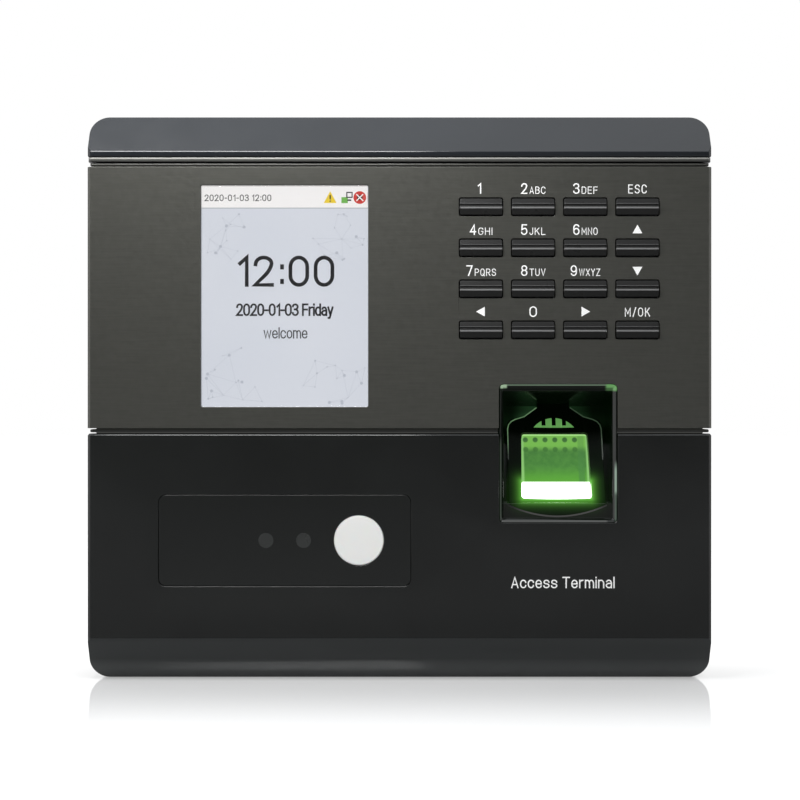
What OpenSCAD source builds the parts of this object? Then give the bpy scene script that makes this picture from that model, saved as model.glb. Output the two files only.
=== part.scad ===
// Wall-mounted fingerprint scanner terminal with a display, a keypad and a camera window.
// X runs across the width and Z runs up. The wall is the plane Y = 0, so the front looks towards -Y.
// The origin is the centre of the wall plate's four screws, on the wall.
// A depth, in names that end in _d, is measured from the front face towards the wall.

/* [Body] */
// Width across the front covers
body_w = 166; // [162:1:200]
// Height across the front covers
body_h = 150.8; // [148:0.4:182]
// Depth from the front face to the wall
body_d = 32; // [31.5:0.5:40]
// Radius of the four corners, seen from the front
corner_r = 5; // [4:0.5:7]
// Bevel along the left and right front edges
edge_bevel = 0.8; // [0.4:0.1:1.2]
// Wall of the three front covers
cover_t = 2; // [1.8:0.1:2.2]
// Wall of the chassis under the covers
chassis_t = 1.6; // [1.4:0.1:1.7]
// Depth at which the front covers end and the rear housing starts
split_d = 18; // [17:0.5:19]
// Wall of the rear housing
rear_t = 2.2; // [1.8:0.1:2.6]
// How far the rear housing stands in from the covers
rear_inset = 1; // [0.5:0.1:1.2]
// Gap between parts that are assembled with clearance
fit = 0.15; // [0.1:0.05:0.2]

/* [Covers] */
// Height of the top cap
cap_h = 11.65; // [11.4:0.05:12]
// Height of the cap's slope
cap_slope_h = 10.2; // [8:0.1:10.4]
// Depth that the cap's slope covers
cap_slope_d = 6.5; // [5:0.5:12]
// Height of the slope below the lower cover
foot_slope_h = 11.3; // [8:0.1:12]
// Depth that the lower slope covers
foot_slope_d = 6.5; // [5:0.5:12]
// Gap between the top cap and the front panel
cap_seam = 2.55; // [2.2:0.05:2.8]
// Top edge of the body to the lower edge of the front panel
panel_drop = 83.7; // [81:0.1:85]
// Gap between the front panel and the lower cover
mid_seam = 1.4; // [1.2:0.1:1.8]
// How far the seams' dark ribs lie below the outer surface
seam_d = 0.6; // [0.4:0.1:0.8]
// Height of the raised bead under the cap
bead_h = 1.15; // [0.8:0.05:1.3]
// How far the bead lies below the outer surface
bead_d = 0.2; // [0.1:0.05:0.4]
// Bevel on the cap's lower lip
cap_lip = 0.3; // [0.2:0.05:0.6]
// Bevel on the lower cover's upper lip
cover_lip = 0.5; // [0.3:0.1:0.8]

/* [Display] */
// Width of the display lens
lens_w = 44.2; // [43.5:0.1:45]
// Height of the display lens
lens_h = 58.7; // [58:0.1:59.5]
// Left edge of the body to the lens
lens_side = 30.3; // [28:0.1:32]
// Top edge of the body to the lens
lens_drop = 19.2; // [18:0.1:20]
// Thickness of the display lens
lens_t = 1.7; // [1.2:0.1:1.7]
// Width of the display module
module_w = 50; // [48:0.5:52]
// Height of the display module
module_h = 67; // [66:0.1:67.2]
// Thickness of the display module
module_t = 3; // [2.6:0.1:3.2]
// Module's border above the visible area
module_border = 2.9; // [2:0.1:3.5]

/* [Keypad] */
// Width of a key
key_w = 11.2; // [9:0.1:11.6]
// Height of a key
key_h = 4.5; // [4:0.1:4.8]
// Sideways distance from key to key
key_pitch_x = 13.85; // [13.4:0.05:14.5]
// Upright distance from key to key
key_pitch_z = 10.9; // [9:0.1:11.2]
// Right edge of the body to the middle of the last column
key_side = 19.8; // [18:0.1:21]
// Top edge of the body to the middle of the first row
key_drop = 24.9; // [23:0.1:26]
// Gap around a key
key_gap = 0.25; // [0.15:0.05:0.35]
// How far a key stands proud of the panel
key_proud = 0.8; // [0.4:0.1:1.2]
// Key travel
key_travel = 0.9; // [0.5:0.05:1.1]

/* [Fingerprint sensor] */
// Width of the sensor's opening
well_w = 31.6; // [31:0.1:33]
// Height of the sensor's opening
well_h = 36.9; // [36.5:0.1:38]
// Right edge of the body to the middle of the sensor
well_side = 40.8; // [39:0.1:43]
// Top edge of the body to the middle of the sensor
well_drop = 90.4; // [88:0.1:92]
// Tilt of the glass from upright, top edge deeper
glass_tilt = 24; // [21:0.5:26]
// Depth of the middle of the glass
glass_d = 8.8; // [8:0.1:9.5]
// Middle of the glass below the middle of the opening
glass_drop = 3.7; // [3:0.1:4]
// Height of the glass along its slope
glass_h = 18.8; // [18:0.1:20]
// Width of the glass at its lower edge
glass_w = 18.5; // [17:0.1:19.5]
// Width of the glass at its upper edge
glass_top_w = 17.6; // [16:0.1:18]
// Thickness of the glass block
glass_t = 6; // [5:0.1:6.5]
// Radius of the dished finger channel
channel_r = 72; // [60:1:90]
// Wall of the sensor's bezel
bezel_t = 1.15; // [1:0.05:1.4]
// Chamfer round the front of the bezel's opening
bezel_chamfer = 0.9; // [0.5:0.05:1]

/* [Camera window] */
// Width of the smoked window
window_w = 67; // [64:0.5:70]
// Height of the smoked window
window_h = 24.2; // [23:0.1:26]
// Left edge of the body to the window
window_side = 19; // [17:0.5:21]
// Top edge of the body to the window
window_drop = 101.4; // [99:0.1:103]
// Thickness of the window
window_t = 1.3; // [1:0.1:1.4]
// Diameter of each camera's lens
camera_lens = 4; // [3:0.1:5]
// Distance between the two cameras
camera_pitch = 10; // [9.5:0.1:11]
// Diameter of the round light diffuser
diffuser = 13.1; // [11:0.1:14]
// Middle of the window to the middle of the diffuser
diffuser_side = 19.7; // [18:0.1:21]

/* [Wall plate] */
// Sideways distance between the wall screws
screw_pitch_x = 60; // [56:1:64]
// Upright distance between the wall screws
screw_pitch_z = 40; // [36:1:42]
// Diameter of the wall screw holes
wall_hole = 4.5; // [4:0.1:5.5]
// Width of the wall plate
plate_w = 76; // [74:1:80]
// Top edge of the plate above the origin
plate_top = 40; // [38:0.5:44]
// Sheet thickness of the plate
plate_t = 1.2; // [1:0.1:1.5]
// Height of the plate's hooks
hook_h = 4; // [3:0.5:4]

/* [Electronics] */
// Width of the main board
board_w = 84; // [82:1:88]
// Height of the main board
board_h = 73; // [70:1:76]
// Thickness of the circuit boards
board_t = 1.6; // [1:0.1:1.6]
// Main board's rear face to the wall
board_y = 16.4; // [16.2:0.1:17]
// Lower edge of the main board below the origin
board_low = 28; // [27:0.5:29]
// Width of the cable bay
bay_w = 60; // [56:1:62]
// Height of the cable bay
bay_h = 30; // [26:1:32]
// Depth of the cable bay
bay_depth = 15; // [12:0.5:15]
// Diameter of the speaker
speaker = 28; // [24:1:30]

/* [Hidden] */
$fn = 48;
half_w = body_w / 2;
top_z = body_h / 2;
low_z = -body_h / 2;
over = 1;
// How far a joined shape sinks into what it stands on
join = 0.2;
// Holes for self-tapping screws, and the clearance holes of the boards they hold
pilot_r = 1.05;
clear_r = 1.2;

// Front covers and chassis
cap_low = top_z - cap_h;
panel_top = cap_low - cap_seam;
panel_low = top_z - panel_drop;
cover_top = panel_low - mid_seam;
chassis_in = cover_t + fit;
chassis_back = chassis_in + chassis_t;
rib_side = 0.3;
bead_gap = 0.1;
bead_low = cap_low - bead_gap - bead_h;
rim_in = chassis_back + fit;
rim_t = 1.4;
rim_front_d = split_d - 4;
ledge_t = 2;
back_gap = 0.5;
back_bevel_w = 1.6;
back_bevel_d = 4;
stake_r = 1;
stake_head_r = 1.7;
stake_head_t = 0.8;
clip_d = 12;
clip_w = 6;
clip_t = 1.6;
clip_hook = 0.7;

// Display
lens_x = -half_w + lens_side + lens_w / 2;
lens_z = top_z - lens_drop - lens_h / 2;
lens_gap = 0.15;
lens_d = 0.15;
module_top = lens_z + lens_h / 2 + module_border;
module_z = module_top - module_h / 2;
module_d = cover_t + fit;
module_back = module_d + module_t;
module_lip = 0.3;
panel_glass_t = 1.7;

// Keypad: column 0 is the left one and row 0 the top one
KEYS = [
    "key_1", "key_2", "key_3", "key_esc",
    "key_4", "key_5", "key_6", "key_up",
    "key_7", "key_8", "key_9", "key_down",
    "key_left", "key_0", "key_right", "key_ok"
];
key_flange = 0.6;
key_flange_t = 0.8;
key_flange_d = cover_t + fit;
key_stem_d = key_flange_d + key_flange_t + 0.65;
dome_d = key_stem_d + key_travel + 0.1;
sheet_d = dome_d + 0.6;
sheet_t = 0.8;
key_board_d = sheet_d + sheet_t;
keypad_x = half_w - key_side - 1.5 * key_pitch_x;
keypad_z = top_z - key_drop - 1.5 * key_pitch_z;
pad_w = 3 * key_pitch_x + key_w + 2 * key_flange + 1.6;
pad_h = 3 * key_pitch_z + key_h + 2 * key_flange + 1.2;
key_post_x = pad_w / 2 + 2.6;
key_post_z = pad_h / 2 - 1.2;
key_board_w = 2 * key_post_x + 5;
key_board_h = pad_h + 1.6;

// Fingerprint sensor: the glass has its own frame, in which X is sideways, Y runs up the slope
// and Z comes out of the glass
well_x = half_w - well_side;
well_z = top_z - well_drop;
well_r = 1.3;
rim_d = 0.3;
glass_z = well_z - glass_drop;
space_w = well_w - 2 * fit - 2 * bezel_t;
space_top = well_h / 2 - fit - bezel_t + 0.2;
space_low = -well_h / 2 + fit + bezel_t + 3.75;
opening_low = -well_h / 2 + fit + bezel_t - 0.2;
floor_w = -3;
floor_t = 1.5;
ceiling_drop = 5;
chin_d = 2.6;
channel_low = 0.3;
guide_half = 12.9;
guide_gap = 0.2;
neck_half = 4.4;
crescent_r = 6.86;
crescent_v = 11.2;
crescent_top = 14.1;
crescent_bar = 1.1;
crescent_pitch = 2.8;
crescent_band = 0.7;
flange_d = chassis_back + 0.05;
flange_t = 1.2;
flange_over = 2.3;
ear_x = well_w / 2 + 5.2;
case_top = floor_w - floor_t - 0.1;
case_t = 5.9;
case_half_x = 11.2;
case_half_v = 12;
case_wall = 1.4;
sensor_board_w = case_top - case_t - 0.1;
sensor_board_t = 1.2;

// Camera window
window_x = -half_w + window_side + window_w / 2;
window_z = top_z - window_drop - window_h / 2;
window_gap = 0.12;
window_ledge = 3;
window_d = 0.05;
camera_board_d = 8.2;
camera_board_t = 1.2;
camera_x = window_x;
diffuser_x = window_x + diffuser_side;
diffuser_gap = 0.12;
camera_post_x = window_w / 2 + 2.4;
camera_post_z = window_h / 2 - 4;

// Rear side, measured from the wall
plate_seat = plate_t + 0.1;
inner_y = back_gap + rear_t;
hook_x = 28;
hook_w = 8;
hook_z = 30;
hook_reach = 4.1;
well_screw_r = 5;
lip_w = 20;
lip_reach = 11;
lip_z = low_z + 8.5;
lift = hook_h + 0.6;
lock_y = 7;
lock_r = 1.45;
bay_x = -14;
bay_top = -board_low - 2;
bay_low = bay_top - bay_h;
bay_wall = 1.6;
notch_x = bay_x - 10;
notch_w = 22;
notch_depth = 9;
plate_low = lip_z;
plate_window = [44, 26];
plate_window_x = -10;
plate_window_top = bay_top + 1;

// Main board
board_x = bay_x - 8;
board_front_y = board_y + board_t;
board_post_x = board_w / 2 - 4;
board_post_z = board_h / 2 - 4;
board_z = -board_low + board_h / 2;
part_y = board_y - 0.05;
lcd_flex_w = 20;
shield_w = 26;
shield_x = lens_x + lcd_flex_w / 2 + 1 + shield_w / 2;
memory_w = 10;
memory_x = lens_x - lcd_flex_w / 2 - 1 - memory_w / 2;
socket_w = 9;
socket_x = board_x + board_w / 2 - 10;
jack_low = -board_low - 0.2;
jack_x = bay_x;
jack_w = 16;
jack_h = 21;
jack_d = 13.4;
power_x = bay_x - 24.5;
power_w = 9;
power_h = 14;
power_d = 10.4;
terminal_x = bay_x + 18;
terminal_w = 16;
terminal_h = 10.5;
terminal_pitch = 3.8;
cell_x = board_x + 4;
cell_z = 18;
cell_r = 10;
cell_t = 3.2;
holder_r = 11.5;
tamper_x = board_x + 30;
tamper_z = 8;
reset_x = board_x - 28;
reset_z = board_z + 20;
usb_x = -half_w + 24.5;
usb_y = 9;
usb_w = 13.2;
usb_t = 5.8;
usb_len = 14;
speaker_x = half_w - 28;
speaker_z = low_z + 23.5;
speaker_t = 5;
boss_x = half_w - 9;
boss_z = top_z - 16;
boss_r = 4;
corner_screw_r = 1.45;
corner_hole_r = 1.7;
corner_head_r = 2.75;

// Places of the clips, stakes and posts, and their sizes
clip_places = [-0.7, 0, 0.7];
stake_side = 8;
panel_stake_in = 13.5;
cover_stake_in = 10;
cover_stake_pitch = 28;
lcd_clip_t = 1.2;
lcd_clip_w = 8;
board_post_r = 2.25;
rear_post_r = 3;
usb_post_r = 2;
usb_post_x = 8.8;
usb_post_rise = 9.5;
tamper_bore_r = 1.55;
reset_r = 1.7;

// Speaker grille: slots either side of the middle one
grille_rows = 4;
grille_pitch = 2.6;
grille_slot = 1.3;
grille_rim = 2;

// Y of a depth
function dy(d) = d - body_d;
// Middle of a key's column or row
function key_x(i) = keypad_x + (i % 4 - 1.5) * key_pitch_x;
function key_z(i) = keypad_z + (1.5 - floor(i / 4)) * key_pitch_z;

// ---- Shapes that several parts share ----

module rounded(w, h, r) {
    offset(r = r)
        square([w - 2 * r, h - 2 * r], center = true);
}

// A plan drawn in X and Z becomes a slab between two depths
module slab(d0, d1) {
    translate([0, dy(d1), 0])
        rotate([90, 0, 0])
            linear_extrude(d1 - d0)
                children();
}

// The same, between two distances from the wall
module wall_slab(y0, y1) {
    translate([0, -y0, 0])
        rotate([90, 0, 0])
            linear_extrude(y1 - y0)
                children();
}

// A profile drawn in Y and Z runs along X
module along_x(length) {
    translate([-length / 2, 0, 0])
        rotate([90, 0, 90])
            linear_extrude(length)
                children();
}

// A straight pin or hole between two depths
module pin(x, z, r, d0, d1) {
    translate([x, dy(d1), z])
        rotate([90, 0, 0])
            cylinder(h = d1 - d0, r = r);
}

// A straight pin or hole between two distances from the wall
module wall_pin(x, z, r, y0, y1) {
    translate([x, -y0, z])
        rotate([90, 0, 0])
            cylinder(h = y1 - y0, r = r);
}

// A box given by its middle in X, its lower Z and its distances from the wall
module wall_box(x, w, z, h, y0, y1) {
    translate([x - w / 2, -y1, z])
        cube([w, y1 - y0, h]);
}

// A post whose melted head holds another part
module stake(x, z, d0, d1) {
    pin(x, z, stake_r, d0, d1 + 0.1);
    pin(x, z, stake_head_r, d1, d1 + stake_head_t);
}

// ---- Outer form ----

module side_profile() {
    polygon([
        [over, low_z], [dy(foot_slope_d), low_z], [dy(0), low_z + foot_slope_h],
        [dy(0), top_z - cap_slope_h], [dy(cap_slope_d), top_z], [over, top_z]
    ]);
}

module plan_profile() {
    polygon([
        [-half_w, over], [-half_w, dy(edge_bevel)], [-half_w + edge_bevel, dy(0)],
        [half_w - edge_bevel, dy(0)], [half_w, dy(edge_bevel)], [half_w, over]
    ]);
}

// The outer form of the covers, moved inwards by inset and cut off at a depth
module cover_form(inset, end_d) {
    intersection() {
        slab(-over, end_d)
            rounded(body_w - 2 * inset, body_h - 2 * inset, max(corner_r - inset, 0.6));
        along_x(body_w)
            offset(delta = -inset)
                side_profile();
        translate([0, 0, low_z])
            linear_extrude(body_h)
                offset(delta = -inset)
                    plan_profile();
    }
}

module cover_shell(outer, inner, end_d) {
    difference() {
        cover_form(outer, end_d);
        cover_form(inner, end_d + over);
    }
}

// Everything between two heights
module band(z0, z1) {
    translate([-body_w, -body_d - over, z0])
        cube([2 * body_w, body_d + 2 * over, z1 - z0]);
}

// Cuts the outer edge of a cover at height z; way is 1 for a lower edge and -1 for an upper one
module lip_cut(z, size, way) {
    along_x(body_w + 2 * over)
        polygon([
            [dy(-over), z - way * over], [dy(-over), z + way * (size + over)],
            [dy(size + over), z - way * over]
        ]);
    for (side = [-1, 1])
        slab(-over, split_d + over)
            polygon([
                [side * (half_w + over), z - way * over],
                [side * (half_w + over), z + way * (size + over)],
                [side * (half_w - size - over), z - way * over]
            ]);
}

// ---- Front covers ----

module key_holes() {
    for (i = [0:len(KEYS) - 1])
        translate([key_x(i), key_z(i)])
            rounded(key_w + 2 * key_gap, key_h + 2 * key_gap, 0.6);
}

module well_outline(gap) {
    translate([well_x, well_z])
        rounded(well_w + 2 * gap, well_h + 2 * gap, well_r + gap);
}

module cap_clip(x) {
    wall_in = chassis_back + fit;
    translate([x - clip_w / 2, dy(clip_d), top_z - wall_in - 1])
        cube([clip_w, clip_t, wall_in + 1 - cover_t + 0.2]);
    translate([x - clip_w / 2, dy(clip_d - clip_hook), top_z - wall_in - 1])
        cube([clip_w, clip_t + clip_hook, 1]);
}

module top_cap() {
    color("#5b6067") {
        difference() {
            intersection() {
                cover_shell(0, cover_t, split_d);
                band(cap_low, top_z + over);
            }
            lip_cut(cap_low, cap_lip, 1);
        }
        for (x = clip_places)
            cap_clip(x * half_w);
    }
}

module panel_stakes() {
    middle = (lens_x + module_w / 2 + keypad_x - pad_w / 2) / 2;
    for (x = [-half_w + stake_side, middle, half_w - stake_side + 1])
        for (z = [panel_top - panel_stake_in, panel_low + panel_stake_in - 0.5])
            translate([x, 0, z])
                children();
}

module cover_stakes() {
    for (x = [-half_w + stake_side, well_x - well_w / 2 - 12.5, half_w - stake_side + 0.5])
        for (z = [cover_top - cover_stake_in, cover_top - cover_stake_in - cover_stake_pitch])
            translate([x, 0, z])
                children();
}

module front_panel() {
    color("#4c4d47") {
        difference() {
            intersection() {
                cover_shell(0, cover_t, split_d);
                band(panel_low, panel_top);
            }
            slab(-over, cover_t + over) {
                translate([lens_x, lens_z])
                    rounded(lens_w + 2 * lens_gap, lens_h + 2 * lens_gap, 0.5);
                key_holes();
                well_outline(0);
            }
        }
        panel_stakes()
            stake(0, 0, cover_t - join, chassis_back + 0.05);
    }
}

module lower_cover() {
    color("#1c1e1d") {
        difference() {
            intersection() {
                cover_shell(0, cover_t, split_d);
                band(low_z - over, cover_top);
            }
            lip_cut(cover_top, cover_lip, -1);
            slab(-over, cover_t + over) {
                well_outline(0);
                translate([window_x, window_z])
                    rounded(window_w - 2 * window_ledge, window_h - 2 * window_ledge, 1);
            }
            slab(-over, window_d + window_t)
                translate([window_x, window_z])
                    rounded(window_w + 2 * window_gap, window_h + 2 * window_gap, 2.1);
        }
        cover_stakes()
            stake(0, 0, cover_t - join, chassis_back + 0.05);
    }
}

// ---- Chassis ----

module seam_rib(z0, z1, depth) {
    intersection() {
        cover_shell(depth, chassis_in + 0.5, split_d);
        band(z0, z1);
    }
}

module board_post(x, z, end_d) {
    pin(x, z, board_post_r, chassis_back - join, end_d);
}

module lcd_clip(side) {
    arm = lens_x + side * (module_w / 2 + 1.1);
    tab = lens_x + side * (module_w / 2 + 0.5);
    slab(chassis_back - join, module_back + 0.9)
        translate([arm, module_z])
            square([lcd_clip_t, lcd_clip_w], center = true);
    slab(module_back + 0.1, module_back + 0.9)
        translate([tab, module_z])
            square([2 * lcd_clip_t, lcd_clip_w], center = true);
}

module front_chassis() {
    color("#2a2c2b") {
        difference() {
            union() {
                cover_shell(chassis_in, chassis_back, split_d);
                seam_rib(panel_top + rib_side, bead_low - rib_side, seam_d);
                seam_rib(bead_low, cap_low - bead_gap, bead_d);
                seam_rib(cover_top + rib_side, panel_low - rib_side, seam_d);
                for (x = [-boss_x, boss_x])
                    for (z = [-boss_z, boss_z])
                        pin(x, z, boss_r - 0.5, chassis_back - join, split_d - 0.1);
                for (x = [-key_post_x, key_post_x])
                    for (z = [-key_post_z, key_post_z])
                        board_post(keypad_x + x, keypad_z + z, key_board_d);
                for (x = [-camera_post_x, camera_post_x])
                    for (z = [-camera_post_z, camera_post_z])
                        board_post(window_x + x, window_z + z, camera_board_d);
            }
            slab(-over, chassis_back + over / 2) {
                translate([lens_x, module_z])
                    square([module_w + 0.5, module_h + 0.5], center = true);
                well_outline(fit);
                translate([window_x, window_z])
                    rounded(window_w - 4, window_h - 4, 1);
            }
            slab(-over, chassis_back + 0.5)
                translate([keypad_x, keypad_z])
                    square([pad_w, pad_h], center = true);
            panel_stakes()
                pin(0, 0, stake_r + 0.1, 0, chassis_back + over / 2);
            cover_stakes()
                pin(0, 0, stake_r + 0.1, 0, chassis_back + over / 2);
            for (x = clip_places)
                translate([x * half_w - clip_w / 2 - 0.3, dy(clip_d - 0.3), top_z - chassis_back - over])
                    cube([clip_w + 0.6, clip_t + 0.6, chassis_t + 2 * over]);
            for (x = [-boss_x, boss_x])
                for (z = [-boss_z, boss_z])
                    pin(x, z, corner_screw_r + 0.05, chassis_back + over, split_d + over);
            for (x = [-key_post_x, key_post_x])
                for (z = [-key_post_z, key_post_z])
                    pin(keypad_x + x, keypad_z + z, pilot_r, chassis_back, key_board_d + over);
            for (x = [-camera_post_x, camera_post_x])
                for (z = [-camera_post_z, camera_post_z])
                    pin(window_x + x, window_z + z, pilot_r, chassis_back, camera_board_d + over);
        }
        for (side = [-1, 1])
            lcd_clip(side);
        for (x = [-ear_x, ear_x])
            stake(well_x + x, well_z, chassis_back - join, flange_d + flange_t + 0.05);
    }
}

// ---- Rear housing and wall plate ----

module rear_side_profile() {
    z = top_z - rear_inset;
    polygon([
        [dy(0), -z], [-back_gap - back_bevel_d, -z], [-back_gap, -z + back_bevel_w],
        [-back_gap, z - back_bevel_w], [-back_gap - back_bevel_d, z], [dy(0), z]
    ]);
}

module rear_plan_profile() {
    x = half_w - rear_inset;
    polygon([
        [-x, dy(0)], [-x, -back_gap - back_bevel_d], [-x + back_bevel_w, -back_gap],
        [x - back_bevel_w, -back_gap], [x, -back_gap - back_bevel_d], [x, dy(0)]
    ]);
}

// The rear housing's outer form, moved inwards by inset, from a depth back to the wall
module rear_form(inset, start_d) {
    side = rear_inset + inset;
    intersection() {
        slab(start_d, body_d)
            rounded(body_w - 2 * side, body_h - 2 * side, max(corner_r - side, 0.6));
        along_x(body_w)
            offset(delta = -inset)
                rear_side_profile();
        translate([0, 0, low_z])
            linear_extrude(body_h)
                offset(delta = -inset)
                    rear_plan_profile();
    }
}

module rim_outline(inset) {
    rounded(body_w - 2 * inset, body_h - 2 * inset, max(corner_r - inset, 0.6));
}

module rear_rim() {
    slab(rim_front_d, split_d + ledge_t)
        difference() {
            rim_outline(rim_in);
            rim_outline(rim_in + rim_t);
        }
    slab(split_d + 0.1, split_d + ledge_t)
        difference() {
            rim_outline(rear_inset + 0.5);
            rim_outline(rim_in + rim_t);
        }
}

module wall_screw_places() {
    for (x = [-screw_pitch_x / 2, screw_pitch_x / 2])
        for (z = [-screw_pitch_z / 2, screw_pitch_z / 2])
            translate([x, 0, z])
                children();
}

module board_places() {
    for (x = [-board_post_x, board_post_x])
        for (z = [-board_post_z, board_post_z])
            translate([board_x + x, 0, board_z + z])
                children();
}

module usb_places() {
    for (x = [-usb_post_x, usb_post_x])
        translate([usb_x + x, 0, low_z + usb_post_rise])
            children();
}

module corner_places() {
    for (x = [-boss_x, boss_x])
        for (z = [-boss_z, boss_z])
            translate([x, 0, z])
                children();
}

module bay_openings() {
    wall_box(jack_x, jack_w + 0.4, bay_top - over, bay_wall + 2 * over, 2.8, board_y - 0.3);
    wall_box(power_x, power_w + 0.4, bay_top - over, bay_wall + 2 * over,
        board_y - power_d - 0.2, board_y - 0.3);
    wall_box(terminal_x, terminal_w + 0.4, bay_top - over, bay_wall + 2 * over,
        board_y - power_d - 0.2, board_y - 0.3);
}

// Length of a grille slot at a height off the speaker's middle
function slot_length(rise) = 2 * sqrt(pow(speaker / 2 - grille_rim, 2) - pow(rise, 2));

module grille() {
    for (i = [-grille_rows:grille_rows])
        wall_slab(0, inner_y + over)
            translate([speaker_x, speaker_z + i * grille_pitch])
                square([slot_length(i * grille_pitch), grille_slot], center = true);
}

module rear_solid() {
    difference() {
        rear_form(0, split_d + 0.1);
        rear_form(rear_t, split_d);
    }
    rear_rim();
    corner_places()
        wall_pin(0, 0, boss_r, inner_y - join, body_d - split_d);
    board_places()
        wall_pin(0, 0, rear_post_r, inner_y - join, board_y);
    usb_places()
        wall_pin(0, 0, usb_post_r, inner_y - join, usb_y + usb_t / 2 + 0.1);
    wall_screw_places()
        wall_pin(0, 0, well_screw_r + 1.2, inner_y - join, 5.8);
    wall_box(bay_x, bay_w + 2 * bay_wall, bay_low - bay_wall, bay_h + 2 * bay_wall,
        inner_y - join, back_gap + bay_depth + bay_wall);
    wall_box(notch_x, notch_w + 2 * bay_wall, low_z + rear_inset + 0.5, bay_low - low_z,
        inner_y - join, notch_depth + bay_wall);
    // Ring that holds the speaker
    wall_pin(speaker_x, speaker_z, speaker / 2 + 1.4, inner_y - join, inner_y + 2);
    // Guide for the tamper plunger
    wall_pin(tamper_x, tamper_z, 3, inner_y - join, inner_y + 3);
}

module rear_housing() {
    color("#26282a")
        difference() {
            rear_solid();
            // Seat of the wall plate, with room to lift it off its hooks
            wall_box(0, plate_w + 0.8, plate_low - lift, plate_top + 0.4 - plate_low + lift,
                -over, plate_seat);
            // Bay for the cables and its way out at the lower edge
            wall_box(bay_x, bay_w, bay_low, bay_h, -over, back_gap + bay_depth);
            wall_box(notch_x, notch_w, low_z - over, bay_low - low_z + 2 * over, -over, notch_depth);
            bay_openings();
            // Slots for the hooks and for the plate's lip
            for (side = [-1, 1])
                wall_box(side * hook_x, hook_w + 1, hook_z - hook_h + plate_t - 0.6, hook_h + 0.7,
                    0, inner_y + over);
            wall_box(0, lip_w + 1, plate_low - lift, lift + plate_t + 0.4, 0, inner_y + over);
            wall_screw_places()
                wall_pin(0, 0, well_screw_r, 0, 4.6);
            // Lock screw through the lower wall
            translate([0, -lock_y, low_z + rear_inset - over])
                cylinder(h = rear_t + 2 * over, r = lock_r + 0.25);
            translate([0, -lock_y, low_z + rear_inset - over])
                cylinder(h = over + 0.9, r = 3);
            corner_places() {
                wall_pin(0, 0, corner_hole_r, 0, body_d);
                wall_pin(0, 0, corner_head_r + 0.35, 0, 4);
            }
            board_places()
                wall_pin(0, 0, pilot_r, inner_y + over, board_y + over);
            usb_places()
                wall_pin(0, 0, pilot_r, inner_y + over, board_y);
            wall_pin(speaker_x, speaker_z, speaker / 2 + 0.2, inner_y, inner_y + 3);
            grille();
            wall_pin(tamper_x, tamper_z, tamper_bore_r, 0, inner_y + 4);
            wall_pin(reset_x, reset_z, 1.2, 0, inner_y + over);
            wall_box(usb_x, usb_w + 0.6, low_z - over, rear_inset + rear_t + 2 * over,
                usb_y - usb_t / 2 - 0.3, usb_y + usb_t / 2 + 0.3);
        }
}

module plate_outline() {
    height = plate_top - plate_low;
    difference() {
        translate([0, plate_low + height / 2])
            rounded(plate_w, height, 2.5);
        translate([plate_window_x, plate_window_top - plate_window[1] / 2])
            rounded(plate_window[0], plate_window[1], 2);
        for (side = [-1, 1])
            translate([side * hook_x, hook_z + plate_t + hook_h / 2 + 0.2])
                square([hook_w, hook_h + 0.4], center = true);
    }
}

module plate_hook(side) {
    wall_box(side * hook_x, hook_w, hook_z, plate_t, plate_t - 0.2, hook_reach);
    wall_box(side * hook_x, hook_w, hook_z, plate_t + hook_h, hook_reach - plate_t, hook_reach);
}

module wall_plate() {
    color("#8d9093")
        difference() {
            union() {
                wall_slab(0, plate_t)
                    plate_outline();
                plate_hook(-1);
                plate_hook(1);
                wall_box(0, lip_w, plate_low, plate_t, plate_t - 0.2, lip_reach);
            }
            wall_screw_places()
                wall_pin(0, 0, wall_hole / 2, -over, plate_t + over);
            translate([0, -lock_y, plate_low - over])
                cylinder(h = plate_t + 2 * over, r = lock_r + 0.05);
        }
}

module lock_screw() {
    seat = low_z + rear_inset + 0.9;
    color("#a4a7aa")
        translate([0, -lock_y, 0])
            difference() {
                union() {
                    translate([0, 0, seat - 1.8])
                        cylinder(h = 1.8, r = 2.75);
                    translate([0, 0, seat - 0.1])
                        cylinder(h = plate_low + plate_t + 2 - seat, r = lock_r);
                }
                translate([0, 0, seat - 1.8 - over])
                    cylinder(h = over + 1, r = 1.3, $fn = 6);
            }
}

module housing_screws() {
    color("#a4a7aa")
        corner_places()
            difference() {
                union() {
                    wall_pin(0, 0, corner_head_r, 2, 4);
                    wall_pin(0, 0, corner_screw_r, 3.9, 22);
                }
                wall_slab(2 - over, 3)
                    cross_slot(3.4, 0.7);
            }
}

module cross_slot(length, width) {
    square([length, width], center = true);
    square([width, length], center = true);
}

// ---- Display ----

module display_lens() {
    color("#dfe3ea")
        slab(lens_d, lens_d + lens_t)
            translate([lens_x, lens_z])
                rounded(lens_w, lens_h, 0.4);
}

module lcd_panel() {
    color("#d4d8e1")
        slab(module_d + module_lip + 0.05, module_d + module_lip + 0.05 + panel_glass_t)
            translate([lens_x, module_z])
                square([module_w - 3.4, module_h - 3.6], center = true);
}

module lcd_frame() {
    color("#9aa0a3")
        difference() {
            slab(module_d, module_back)
                translate([lens_x, module_z])
                    square([module_w, module_h], center = true);
            slab(module_d - over, module_d + module_lip + over / 2)
                translate([lens_x, lens_z])
                    square([lens_w + 0.4, lens_h + 0.4], center = true);
            slab(module_d + module_lip, module_d + module_lip + panel_glass_t + 0.15)
                translate([lens_x, module_z])
                    square([module_w - 3, module_h - 3.2], center = true);
        }
}

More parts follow.
